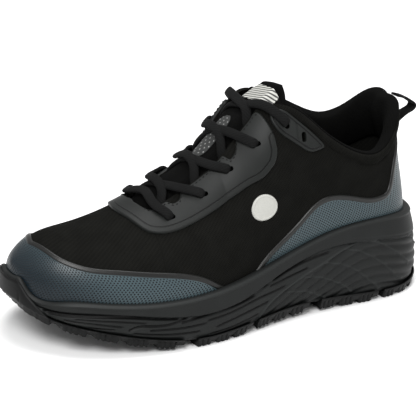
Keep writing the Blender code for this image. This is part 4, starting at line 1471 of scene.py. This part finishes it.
    def scallop(self, share: Array) -> Array:
        """How far the eyestay's inner edge draws back: a little all along, and two deep notches.

        Args:
            share: share of the sole's length.

        Returns:
            The distance.
        """
        deep = self.scallop_depth + sum(
            depth * np.exp(-(((share - place) / width) ** 4)) for place, width, depth in self.notches
        )
        return deep * smooth(share, self.form.throat_start, 0.30) * (1 - smooth(share, 0.54, 0.556))

    def stay_edges(self, around: Array, side: Side) -> tuple[Array, Array]:
        """Outer and inner edge of the eyestay as shares of the section.

        Args:
            around: stations.
            side: which side.

        Returns:
            The outer and the inner edge.
        """
        form = self.form
        at = share_of(around)
        outer = rooted(self.stay_outer, at)
        inner = form.edge(around, side)
        inner = np.where(inner < 1, inner - self.scallop(at) / form.girth(around, side), inner)
        inner = inner * np.interp(at, *np.array(self.stay_inner).T)
        return np.minimum(outer, inner - 0.0005), inner

    def stay(self, finish: Finish) -> Piece:
        """The eyestay: a thick skin with rounded edges and a groove inside its outer edge.

        Args:
            finish: its material.

        Returns:
            The piece.
        """
        form, patches = self.form, []
        first, last = self.stay_outer[0][0], self.stay_outer[-1][0]
        near = form.throat_start + THROAT_STEPS
        bend = first + np.linspace(0, 0.2, 40) ** 2
        around = turn(np.unique(np.concatenate([np.linspace(first, last, 150), bend, near])))
        rows = eased(44)
        sides = {side: self.stay_edges(around, side) for side in Side}
        rims = []
        for side, (outer, inner) in sides.items():
            rims.append(form.section(around, outer, side))
            rims.append(form.section(around, inner, side)[inner < 1])
        tail = []
        for side, (outer, inner) in sides.items():
            tail.append(form.section(around[-1], outer[-1] + (inner[-1] - outer[-1]) * rows, side))
        for side, (outer, inner) in sides.items():
            up = outer[:, None] + (inner - outer)[:, None] * rows[None, :]
            flat = form.section(around[:, None], up, side)
            outward = np.minimum(away(flat, rims[0]), away(flat, rims[2]))
            outward = np.minimum(outward, np.minimum(away(flat, tail[0]), away(flat, tail[1])))
            inward = np.minimum(away(flat, rims[1]), away(flat, rims[3]))
            height = self.eyestay * rounded(np.minimum(outward, inward), self.stay_round) + form.overlay_gap
            uv = np.dstack([grid_uv(flat), outward])
            patches.append(form.overlay(around, up, side, height, uv))
        return dress(shell("eyestay_skin", patches, finish), "eyestay_synthetic", "eyestay")

    def tab(self, side: Side, finish: Finish) -> Piece:
        """An eyelet tab: a leaf with a rounded edge, a groove inside it and one across it.

        Args:
            side: which side.
            finish: its material.

        Returns:
            The piece.
        """
        form = self.form
        share, low, high = np.array(self.tab_edges).T
        angle = np.arccos(np.clip(1 - 2 * (share - share[0]) / (share[-1] - share[0]), -1, 1))
        at = np.linspace(0, math.pi, 90)
        around = turn(share[0] + (share[-1] - share[0]) * (1 - np.cos(at)) / 2)
        bottom, top = spline(angle, low, at), spline(angle, high, at)
        up = bottom[:, None] + np.maximum(top - bottom, 0)[:, None] * eased(30)[None, :]
        flat = form.section(around[:, None], up, side)
        edge = np.concatenate([flat[:, 0], flat[::-1, -1]])
        far = away(flat, edge)
        height = self.tab_height * rounded(far, self.tab_round)
        cross = form.section(turn(self.crease_share), np.linspace(0.74, 0.98, 12), side)
        crease = bell(away(flat, cross), 0.4 * MM) * smooth(far, 1.6 * MM, 2.4 * MM)
        height = height - self.tab_crease * crease
        uv = np.dstack([grid_uv(flat), far + 1.9 * MM])
        patch = form.overlay(around, up, side, height + form.overlay_gap, uv)
        name = f"eyelet_tab_{side.name.lower()}"
        return dress(shell(f"{name}_skin", [patch], finish), "eyestay_synthetic", name)

    def cut_slots(self, pieces: Sequence[Piece]) -> None:
        """Cuts the lace slots through the given pieces with one set of rounded bars.

        Args:
            pieces: the pieces to cut.
        """
        form, grids = self.form, []
        for share, up in EYELETS:
            for side in Side:
                around = turn(share)
                centre, out = form.section(around, up, side), form.facing(around, np.asarray(up), side)
                across = unit(form.section(around, up + STEP, side) - form.section(around, up - STEP, side))
                along = np.cross(out, across)
                if share < form.throat_end - 0.02:
                    across, along = along, -across
                x, y = oval(np.linspace(0, 2 * math.pi, 17), 0.6)
                ring = centre + x[:, None] * self.slot_length * across + y[:, None] * self.slot_width * along
                heights = [(-6 * MM, 0.0), (-6 * MM, 1.0), (5 * MM, 1.0), (5 * MM, 0.0)]
                rings = [centre + (ring - centre) * keep + out * height for height, keep in heights]
                points = np.stack(rings)
                grids.append((points, points[..., :2], True))
        cutter = skin("slot_cutter", grids, pieces[0].data.materials[0])
        for piece in pieces:
            cut = piece.modifiers.new("slots", "BOOLEAN")
            cut.operation, cut.solver, cut.object = "DIFFERENCE", "EXACT", cutter
            graph = bpy.context.evaluated_depsgraph_get()
            mesh = bpy.data.meshes.new_from_object(piece.evaluated_get(graph))
            piece.modifiers.clear()
            piece.data = mesh
            mesh.set_sharp_from_angle(angle=math.radians(50))
        bpy.data.objects.remove(cutter)

    def stitches(self, finish: Finish) -> None:
        """Two rows of short stitches inside the eyestay's inner edge, as small six-sided beads.

        Args:
            finish: its material.
        """
        form, rings = self.form, []
        for side in Side:
            share = np.linspace(0.292, 0.56, 400)
            around = turn(share)
            _, inner = self.stay_edges(around, side)
            level = inner - self.stitch_inset / form.girth(around, side)
            path = form.lifted(around, level, side, self.eyestay)
            out = form.facing(around, inner, side)
            run = run_of(path)
            start = np.arange(1 * MM, run[-1] - 3 * MM, self.stitch_pitch)
            part = np.linspace(0, 1, 5)
            at = start[:, None] + self.stitch * part[None, :]
            spot = np.stack([np.interp(at, run, path[:, k]) for k in range(3)], -1)
            up = np.stack([np.interp(at, run, out[:, k]) for k in range(3)], -1)
            spot = spot + up * (0.25 * MM * np.sin(math.pi * part) - 0.1 * MM)[None, :, None]
            along = unit(np.gradient(spot, axis=1))
            across = np.cross(along, up)
            angle = np.linspace(0, 2 * math.pi, 7)[:, None]
            thick = self.thread * np.sqrt(np.clip(1 - (2 * part - 1) ** 2, 0, 1)) ** 0.6
            around_thread = np.cos(angle) * across[:, :, None] + np.sin(angle) * up[:, :, None]
            beads = spot[:, :, None] + thick[None, :, None, None] * around_thread
            rings += [(bead, bead[..., :2], False) for bead in beads]
        dress(skin("eyestay_stitches", rings, finish), "lace_cord")

    def badge(self, finish: Finish) -> None:
        """A plain round badge with a raised border, on the outer side.

        Args:
            finish: its material.
        """
        form = self.form
        share, level, half_long, half_high = self.badge_place
        part = -np.cos(np.linspace(0, math.pi, 60))
        around = turn(share + half_long * part)
        half = half_high * np.sqrt(1 - part**2)
        up = level + half[:, None] * np.linspace(-1, 1, 40)[None, :]
        flat = form.section(around[:, None], up, Side.LATERAL)
        far = away(flat, np.concatenate([flat[:, 0], flat[::-1, -1]]))
        height = self.badge_height * rounded(far, 0.5 * MM) + self.badge_rim * bell(far - 1.1 * MM, 0.45 * MM)
        patch = form.overlay(around, up, Side.LATERAL, height + 0.05 * MM, grid_uv(flat))
        dress(shell("side_badge_disc", [patch], finish), "reflective_sheet", "side_badge")

    def build(self) -> None:
        """Makes the cloth, the films, the eyestay and the tabs, then cuts the slots."""
        cloth = Weave("upper_fabric", (0.0058, 0.0058, 0.0052), 1.5 * MM, 0.22 * MM, specular=0.02).make()
        film = Film().make()
        grey, black = (0.0080, 0.0090, 0.0085), (0.004, 0.004, 0.004)
        # the eyestay's finish paints shade into a groove 4 mm inside its outer edge
        synthetic = Moulded("eyestay_synthetic", grey, 0.45 * MM, 0.05 * MM, 0.45, 0.15, 0.08, 4.0 * MM)
        grained = synthetic.make()
        thread = Moulded("stitch_thread", black, 0.3 * MM, 0.03 * MM, 0.8, 0.2).make()
        pieces = [self.cloth(cloth), self.stay(grained)]
        pieces += [self.tab(side, grained) for side in Side]
        self.cut_slots(pieces)
        self.film_piece("toe_overlay", self.toe_top, (0.0, 0.445), film)
        self.film_piece("heel_overlay", self.heel_top, (0.505, 1.0), film)
        self.stitches(thread)
        self.badge(Printed("badge_sheet", plain=True).make())


@dataclass(frozen=True)
class Sheet:
    """A printed sheet on the tongue: its two ends along it, half its width, its height and its finish."""

    name: str
    start: float
    end: float
    half: float
    height: float
    finish: Printed
    tapered: bool


@dataclass
class Inside:
    """The soft pieces in the opening: tongue with label and patch, collar padding and insole.

    A row of shape is a place along the tongue and shares of its width and padding. A point of ring is a
    share of the section and a depth in millimetres.
    """

    form: Form = FORM
    width: float = 58 * MM
    padding: float = 5.0 * MM
    tip: float = 31 * MM
    tip_slope: float = 31
    start: float = 0.24
    end: float = 0.53
    sink: float = 0.9 * MM
    gap: float = 1.15 * MM
    label_width: float = 22 * MM
    label_sink: float = 0.4 * MM
    sheets: Sequence[Sheet] = (
        Sheet("tongue_label", 1.50, 1.95, 0.74, 0.9 * MM, Printed("tongue_label_sheet"), True),
        Sheet(
            "tongue_patch",
            0.68,
            0.98,
            0.30,
            0.6 * MM,
            Printed("tongue_patch_sheet", (0.017, 0.018, 0.0175), (0.20, 0.20, 0.195), dots=True),
            False,
        ),
    )
    shape: Sequence[tuple[float, float, float]] = (
        (0.00, 0.78, 0.45), (0.12, 0.90, 0.60), (0.24, 1.00, 0.90), (0.36, 1.00, 1.00),
        (0.58, 1.00, 1.00), (0.79, 1.00, 1.00), (1.00, 0.94, 1.00), (1.25, 0.90, 1.05),
        (1.50, 0.88, 1.10), (1.72, 0.85, 1.10), (1.82, 0.82, 1.05), (1.91, 0.76, 0.98),
        (1.99, 0.67, 0.90), (2.05, 0.57, 0.80), (2.10, 0.45, 0.72), (2.135, 0.32, 0.65),
        (2.16, 0.18, 0.60),
    )
    tip_start: float = 1.8
    tip_end: float = 2.16
    tip_skew: float = 4 * MM
    tip_round: float = 0.14
    tip_bead: float = 0.9 * MM
    tip_groove: float = 0.5 * MM
    collar_fold: float = 2.2
    collar_round: float = 0.012
    heel_rise: float = 0.02
    insole_inset: float = 4 * MM
    insole_thickness: float = 3.4 * MM
    insole_lip: float = 1.6 * MM
    ring: Sequence[tuple[float, float]] = (
        (0.66, 2.3), (0.80, 2.2), (0.94, 2.1), (0.985, 1.6), (1.004, 0.7),
        (1.016, 1.0), (1.024, 2.6), (1.018, 4.6), (0.998, 6.8), (0.97, 8.4),
        (0.90, 8.9), (0.82, 8.2), (0.74, 6.4), (0.67, 4.2),
    )

    def base(self, along: Array, wide: Array) -> Array:
        """Points on the arch that closes the throat, at signed widths from its middle line.

        Args:
            along: place along the tongue.
            wide: distance from its middle.

        Returns:
            The points.
        """
        form = self.form
        along, wide = np.broadcast_arrays(np.asarray(along, float), np.asarray(wide, float))
        slope = math.radians(self.tip_slope)
        forward = np.array([math.cos(slope), 0, math.sin(slope)]) * self.tip
        value, where = np.unique(along, return_inverse=True)
        where = where.reshape(along.shape)
        share = self.start + (self.end - self.start) * np.minimum(value, 1)
        up = np.linspace(0.4, 1, 60)
        near = form.section(turn(share)[:, None], up[None, :], Side.LATERAL)
        far = form.section(turn(share)[:, None], up[None, :], Side.MEDIAL)[:, ::-1]
        arch = np.concatenate([near, far], 1)
        run = run_of(arch, 1)
        middle = (run[:, len(up) - 1] + run[:, len(up)]) / 2
        at = middle[where] + wide
        rows = run[where]
        k = np.clip((rows < at[..., None]).sum(-1) - 1, 0, run.shape[1] - 2)
        left, right = (np.take_along_axis(rows, k[..., None] + step, -1)[..., 0] for step in (0, 1))
        part = ((at - left) / np.maximum(right - left, 1e-12))[..., None]
        past = np.maximum(along - 1, 0)[..., None] * forward
        return arch[where, k] * (1 - part) + arch[where, k + 1] * part + past

    def skin(self, along: Array | float, wide: Array | float, lift: Array | float) -> Array:
        """Point on top of the tongue raised by lift; it swells up between the eyestay's edges.

        Args:
            along: place along the tongue.
            wide: distance from its middle.
            lift: height above the tongue's top.

        Returns:
            The points.
        """
        along, wide = np.broadcast_arrays(np.asarray(along, float), np.asarray(wide, float))
        by_along = self.base(along + 0.02, wide) - self.base(along - 0.02, wide)
        by_width = self.base(along, wide + MM) - self.base(along, wide - MM)
        out = unit(np.cross(by_along, by_width))
        base = self.base(along, wide)
        inside = smooth(self.form.throat_width / 2 - np.abs(wide), 0.5 * MM, 7 * MM)
        inside = inside * smooth(base[..., 0] - self.form.x_of(self.form.throat_start), 2 * MM, 10 * MM)
        under = -(self.form.wall + self.gap)
        height = under + (-self.sink - under) * inside + lift
        return base + height[..., None] * out

    def along_of(self, share: float) -> float:
        """Place along the tongue below a share of the sole's length."""
        tip = self.form.sole_length * (share - self.end) / (self.tip * math.cos(math.radians(self.tip_slope)))
        return (share - self.start) / (self.end - self.start) if share < self.end else 1 + tip

    def tongue(self, finish: Finish) -> None:
        """The padded tongue: a closed pad, thick in the middle, with rounded edges and a bound tip.

        Args:
            finish: its material.
        """
        knots, wides, thicks = np.array(self.shape).T
        last = self.tip_start + (self.tip_end - self.tip_start) * np.sin(np.linspace(0, math.pi / 2, 30))
        along = np.unique(np.concatenate([np.linspace(0, self.tip_start, 80), last]))
        across = np.sin(np.linspace(-math.pi / 2, math.pi / 2, 56))
        wide = across[None, :] * (spline(knots, wides, along) * self.width / 2)[:, None]
        wide = wide - self.tip_skew * smooth(along, 1.0, 2.0)[:, None]
        full = spline(knots, thicks, along)[:, None] * self.padding
        into_tip = np.clip((along - self.tip_end + self.tip_round) / self.tip_round, 0, 1)
        tip = np.sqrt(np.clip(1 - into_tip**2, 0.03, 1))[:, None]
        side = np.sqrt(np.clip(1 - np.abs(across) ** 5, 0.03, 1))[None, :]
        roll = tip * side
        free = smooth(along, 0.95, 1.2)[:, None]
        from_side = (1 - np.abs(across))[None, :] * self.width / 2
        edge = np.minimum(from_side, (self.tip_end - along)[:, None] * self.tip)
        bead, groove = bell(edge - 3.0 * MM, 2.2 * MM), bell(edge - 6.5 * MM, 0.7 * MM)
        swell = free * (self.tip_bead * bead - self.tip_groove * groove)
        top = self.skin(along[:, None], wide, -full * 0.45 * (1 - roll) + swell * roll)
        low = self.skin(along[:, None], wide, -full * (0.5 + 0.5 * roll))
        patch = Patch(low, top, grid_uv(top), False)
        piece = dress(shell("tongue_pad", [patch], finish), "lining_fabric", "tongue")

    def labels(self) -> None:
        """The label at the tongue's tip with plain bars, and the patch below it with plain dots."""
        across = np.linspace(-1, 1, 30)
        for sheet in self.sheets:
            along = np.linspace(sheet.start, sheet.end, 30)
            narrowed = 1 - 0.25 * ((along - sheet.start) / (sheet.end - sheet.start))
            taper = narrowed if sheet.tapered else np.sqrt(np.clip(1 - across**4, 0.1, 1))
            wide = sheet.half * self.label_width * across[None, :] * taper[:, None]
            wide = wide - self.tip_skew * smooth(along, 1.0, 2.0)[:, None]
            high = self.skin(along[:, None], wide, sheet.height)
            low = self.skin(along[:, None], wide, -self.label_sink)
            patch = Patch(low, high, grid_uv(high), False)
            dress(shell(f"{sheet.name}_sheet", [patch], sheet.finish.make()), "reflective_sheet", sheet.name)

    def collar(self, finish: Finish) -> None:
        """The padded collar: one smooth closed ring carried round the opening and rolled over the rim.

        Args:
            finish: its material.
        """
        form = self.form
        table = np.array([*self.ring, self.ring[0]])
        closed = np.concatenate([table[-4:-1], table, table[1:4]])
        knots = np.arange(len(closed), dtype=float)
        ring = spline(knots, closed, np.linspace(3, 3 + len(self.ring), 40, endpoint=False))
        around = np.linspace(turn(form.collar_start), 1, 96)
        rings = []
        for side, stations in ((Side.LATERAL, around), (Side.MEDIAL, around[-2::-1])):
            full = 0.4 + 0.6 * smooth(share_of(stations), 0.64, 0.76)
            past = share_of(stations) - share_of(around[0])
            ends = np.maximum(rounded(past, self.collar_round), 0.2)
            over, depth = ring[None, :, 0], ring[None, :, 1]
            swell = np.where(depth > self.collar_fold, (full * ends)[:, None], ends[:, None])
            deep = self.collar_fold + (depth - self.collar_fold) * swell
            heel = smooth(share_of(stations), 0.9, 0.97)[:, None]
            raised = over + self.heel_rise * heel * smooth(over, 0.93, 1.0)
            up = 0.9 + (raised - 0.9) * ends[:, None]
            rings.append(form.lifted(stations[:, None], up, side, -deep * MM))
        piece = loft("collar_pad", np.concatenate(rings), finish)
        mesh = piece.data
        if sum(p.normal.dot(p.center - Vector((0.085, 0, 0.11))) for p in mesh.polygons) < 0:
            mesh.flip_normals()
        dress(piece, "lining_fabric", "collar_padding")

    def insole(self, finish: Finish) -> None:
        """The insole: a thin dished bed that rises a little at its edge.

        Args:
            finish: its material.
        """
        form, patches = self.form, []
        around = np.linspace(0, 1, 120)
        for side in Side:
            edge, far = (form.lifted(around, 0, which, -self.insole_inset) for which in (side, side.other))
            bed = form.cup_height * UPPER.at("bed", around)
            edge[:, 2] = far[:, 2] = bed
            middle = (edge + far) / 2
            rows = np.sin(np.linspace(0, math.pi / 2, 24))
            low = middle[:, None] + rows[None, :, None] * (edge - middle)[:, None]
            lip = self.insole_lip * rows**6 * smooth(share_of(around), 0.3, 0.6)[:, None]
            rise = self.insole_thickness + lip
            high = low + np.stack([0 * rise, 0 * rise, rise], -1)
            patches.append(Patch(low, high, grid_uv(low), side is Side.MEDIAL))
        dress(shell("insole_bed", patches, finish), "insole_fabric", "insole")

    def build(self) -> None:
        """Makes every soft piece of the opening."""
        lining = Weave("lining_fabric", (0.0024, 0.0024, 0.0023), 1.0 * MM, 0.00016, 0.7, 0.95, 0.04).make()
        self.tongue(lining)
        self.labels()
        self.collar(lining)
        self.insole(Weave("insole_fabric", (0.0007, 0.0007, 0.0007), 1.2 * MM, 0.0001).make())


@dataclass
class Trim:
    """The lace in its eyelets, the pull loop and the strip on the heel seam."""

    form: Form
    tongue: Inside
    lace_width: float = 6.2 * MM
    lace_thickness: float = 3.0 * MM
    slot_fit: float = 5.6 * MM
    squeezed: float = 2.5 * MM
    eyestay: float = 1.9 * MM
    crossings: int = 4
    loop_width: float = 9 * MM
    loop_thickness: float = 1.7 * MM
    loop_start: float = 2.4 * MM
    loop_reach: float = 15 * MM
    strip_height: float = 1.5 * MM
    loop_line: Line = (
        (0.76, 0.03), (0.785, 0.25), (0.835, 0.62), (0.89, 1.00), (0.945, 1.25),
        (1.00, 1.28), (1.045, 1.05), (1.062, 0.66), (1.052, 0.16),
    )

    def on_upper(self, share: float, up: float, side: Side, height: float) -> Array:
        """A lace stop above the upper, with the direction away from the shoe.

        Args:
            share: share of the sole's length.
            up: share of the section.
            side: which side.
            height: how far it stands out.

        Returns:
            The point and its direction.
        """
        around = np.asarray(turn(share))
        point = self.form.lifted(around, up, side, height)
        return np.concatenate([point, self.form.facing(around, np.asarray(up), side)])

    def edge_up(self, share: float, side: Side) -> float:
        """Share of the section at the throat's edge."""
        return float(self.form.edge(np.asarray(turn(share)), side))

    def on_tongue(self, share: float, wide: float, height: float) -> Array:
        """A lace stop above the tongue, with the direction away from the shoe.

        Args:
            share: share of the sole's length.
            wide: distance from its middle.
            height: how far it stands out.

        Returns:
            The point and its direction.
        """
        along = self.tongue.along_of(share)
        point = self.tongue.skin(along, wide, height)
        return np.concatenate([point, unit(point - self.tongue.skin(along, wide, 0.0))])

    def dive(self, number: int, side: Side, come: Array, flip: float) -> list[Array]:
        """Stops of the lace from the top of the eyestay down into a slot and on under the upper.

        The lace's outward direction turns with it: from away off the shoe to the way it was going, and then
        to the inside.

        Args:
            number: which slot.
            side: on which side.
            come: the point that it comes from.
            flip: 1 or -1, the face of the lace that is up.

        Returns:
            Five stops with their directions.
        """
        share, up = EYELETS[number]
        base = self.on_upper(share, up, side, 0.0)
        spot, out = base[:3], base[3:]
        ahead = spot - come[:3]
        ahead = unit(ahead - (ahead @ out) * out)
        top = self.eyestay + self.lace_thickness / 2 + 0.1 * MM
        table = (
            (-5.0 * MM, top, 0.0),
            (-2.1 * MM, top - 0.1 * MM, 12.0),
            (-0.4 * MM, top - 1.5 * MM, 65.0),
            (0.0, -0.5 * MM, 90.0),
            (-0.5 * MM, -self.form.wall - 1.8 * MM, 140.0),
        )
        stops = []
        for along, height, degrees in table:
            bend = math.radians(degrees)
            point = spot + along * ahead + height * out
            stops.append(np.concatenate([point, flip * (math.cos(bend) * out + math.sin(bend) * ahead)]))
        return stops

    def route(self) -> Array:
        """Stops of the whole lace: up one side to the bar, over it and up the other side.

        Each strand comes out under the eyestay's edge, crosses the tongue, lies over the other edge and
        goes down the next slot. The strands that start on the outer side lie on top.

        Returns:
            The stops, each a point and a direction.
        """
        form = self.form
        over = self.eyestay + self.lace_thickness / 2 + 0.2 * MM
        bar = EYELETS[0][0] - 0.016
        brinks = [self.on_upper(bar, self.edge_up(bar, side) - 0.02, side, over) for side in Side]
        crown = self.on_tongue(EYELETS[0][0] - 0.012, 0.0, 3.6 * MM)
        halves = []
        for first, brink in zip(Side, brinks):
            stops, side, flip = [brink, *self.dive(0, first, brink, 1.0)], first, -1.0
            for k in range(self.crossings):
                (low, low_up), high = EYELETS[k], EYELETS[k + 1][0]
                s, gap = side.value, high - low
                leave, near = low - 0.05 * gap, high - 0.42 * gap
                edge = self.edge_up(leave, side)
                on_top = side is Side.LATERAL
                under = [
                    self.on_upper(low, low_up * 0.6 + edge * 0.4, side, -form.wall - 2.3 * MM),
                    self.on_upper(leave, edge - 0.01, side, -form.wall - 0.6 * MM),
                    self.on_tongue(leave * 0.72 + near * 0.28, s * 12.0 * MM, (2.6 if on_top else 1.6) * MM),
                    self.on_tongue((leave + near) / 2, 0.0, (4.6 if on_top else 1.5) * MM),
                ]
                side = Side(-s)
                brim = min(self.edge_up(near, side), 1.0) - 0.015
                under.append(self.on_upper(near, brim, side, over + 0.2 * MM))
                stops += [np.concatenate([stop[:3], flip * stop[3:]]) for stop in under]
                stops += self.dive(k + 1, side, under[-1], flip)
                flip = -flip
            halves.append(stops)
        return np.array([*halves[0][::-1], crown, *halves[1]])

    def lace(self, finish: Finish) -> None:
        """One woven lace through all its slots, narrower where a slot squeezes it.

        Args:
            finish: its material.
        """
        made = through(self.route(), 1100)
        path, out = made[:, :3], unit(made[:, 3:])
        laced = [(share, up, side) for share, up in EYELETS[: self.crossings + 1] for side in Side]
        slots = np.array([self.form.section(np.asarray(turn(share)), up, side) for share, up, side in laced])
        near = np.min(np.linalg.norm(path[:, None] - slots[None, :], axis=-1), axis=1)
        squeeze = smooth(near, 1.2 * MM, 3.2 * MM)
        width = self.slot_fit + (self.lace_width - self.slot_fit) * squeeze
        thick = self.squeezed + (self.lace_thickness - self.squeezed) * squeeze
        piece = loft("lace_run", flat_cord(path, out, width, thick), finish)
        dress(piece, "lace_cord", "lace_bar", *[f"lace_cross_{k + 1}" for k in range(self.crossings)])
        long = float(run_of(path)[-1])
        LOG.info("lace %.3f m", long)

    def loop(self, finish: Finish) -> None:
        """The pull loop: a flat tape that stands out from the heel seam, and the strip below it.

        Args:
            finish: its material.
        """
        form = self.form
        up, reach = np.array(self.loop_line).T
        lift = self.loop_start + self.loop_reach * reach
        path = through(form.lifted(np.ones(len(up)), up, Side.LATERAL, lift), 70)
        out = np.cross(np.gradient(path, axis=0), [0.0, 1.0, 0.0])
        tape = flat_cord(path, out, self.loop_width, self.loop_thickness, 28, 0.45)
        dress(loft("pull_loop_tape", tape, finish), "webbing", "pull_loop")
        patches = []
        around = turn(np.linspace(0.98, 1.0, 14))
        up = np.linspace(0.73, 0.97, 40)[None, :]
        for side in Side:
            flat = form.section(around[:, None], up, side)
            far = np.minimum(away(flat, flat[0]), np.minimum(away(flat, flat[:, 0]), away(flat, flat[:, -1])))
            height = self.strip_height * rounded(far, 0.8 * MM)
            patches.append(form.overlay(around, up, side, height, grid_uv(flat)))
        dress(shell("heel_strip_tape", patches, finish), "webbing", "heel_strip")

    def build(self) -> None:
        """Makes the lace, the loop and the strip."""
        self.lace(Weave("lace_cord", (0.0052, 0.0053, 0.0053), 1.1 * MM, 0.0003, 1.0, 0.85, 0.08).make())
        self.loop(Weave("webbing", (0.0055, 0.0055, 0.0055), 0.9 * MM, 0.0002, 1.0, 0.85, 0.08).make())


@dataclass(frozen=True)
class Studio:
    """Pale floor, soft lights and the camera of the picture."""

    azimuth: float = -30.0
    elevation: float = 20.5
    roll: float = 2.5
    distance: float = 1.1
    lens: float = 147.5
    target: tuple[float, float, float] = (-0.009, 0.0026, 0.067)

    def lamp(self, name: str, place: tuple[float, float, float], size: float, power: float) -> None:
        """A square soft lamp that faces the shoe.

        Args:
            name: its name.
            place: where it stands.
            size: its side.
            power: its watts.
        """
        data = bpy.data.lights.new(name, "AREA")
        data.size, data.energy = size, power
        lamp = bpy.data.objects.new(name, data)
        lamp.location = place
        lamp.rotation_euler = (Vector(place) - Vector((0, 0, 0.06))).to_track_quat("Z", "Y").to_euler()
        bpy.context.scene.collection.objects.link(lamp)

    def floor(self) -> None:
        """A wide pale floor."""
        paint = Paint("floor_paper", 0.9, 0.1)
        finish = paint.finish(paint.mix(paint.noise(0.3), (0.77, 0.77, 0.77), (0.79, 0.79, 0.79)))
        data = bpy.data.meshes.new("floor")
        half = 12.0
        corners = [(-half, -half, 0), (half, -half, 0), (half, half, 0), (-half, half, 0)]
        data.from_pydata(corners, [], [(0, 1, 2, 3)])
        data.materials.append(finish)
        plane = bpy.data.objects.new("floor", data)
        bpy.context.scene.collection.objects.link(plane)

    def camera(self) -> None:
        """The camera: back, right and up directions from azimuth and elevation, turned by the roll."""
        a, e, r = (math.radians(v) for v in (self.azimuth, self.elevation, self.roll))
        back = Vector((math.sin(a) * math.cos(e), -math.cos(a) * math.cos(e), math.sin(e)))
        right = Vector((math.cos(a), math.sin(a), 0))
        up = back.cross(right)
        turned, raised = right * math.cos(r) + up * math.sin(r), up * math.cos(r) - right * math.sin(r)
        data = bpy.data.cameras.new("camera")
        data.lens, data.sensor_width, data.shift_x = self.lens, 36, -1 / 416
        data.clip_start, data.clip_end = 0.05, 60
        camera = bpy.data.objects.new("camera", data)
        place = Vector(self.target) + back * self.distance
        turn_to = Matrix((turned, raised, back)).transposed().to_4x4()
        camera.matrix_world = Matrix.Translation(place) @ turn_to
        bpy.context.scene.collection.objects.link(camera)
        bpy.context.scene.camera = camera

    def build(self) -> None:
        """Sets up the room."""
        self.camera()
        self.floor()
        self.lamp("key", (-0.9, -0.9, 1.5), 0.9, 34)
        self.lamp("fill", (0.9, -1.4, 0.8), 1.2, 7)
        self.lamp("top", (0.2, 0.3, 1.8), 1.2, 30)
        world = bpy.data.worlds.new("room")
        world.use_nodes = True
        world.node_tree.nodes["Background"].inputs["Color"].default_value = (1, 1, 1, 1)
        world.node_tree.nodes["Background"].inputs["Strength"].default_value = 0.6
        scene = bpy.context.scene
        scene.world = world
        scene.view_settings.view_transform = "Standard"


def main() -> None:
    """Builds the shoe and its room."""
    logging.basicConfig(level=logging.INFO, format="%(name)s %(message)s")
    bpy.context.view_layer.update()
    Studio().build()
    inside = Inside()
    Sole().build()
    Upper().build()
    inside.build()
    Trim(FORM, inside).build()


if __name__ == "__main__":
    main()
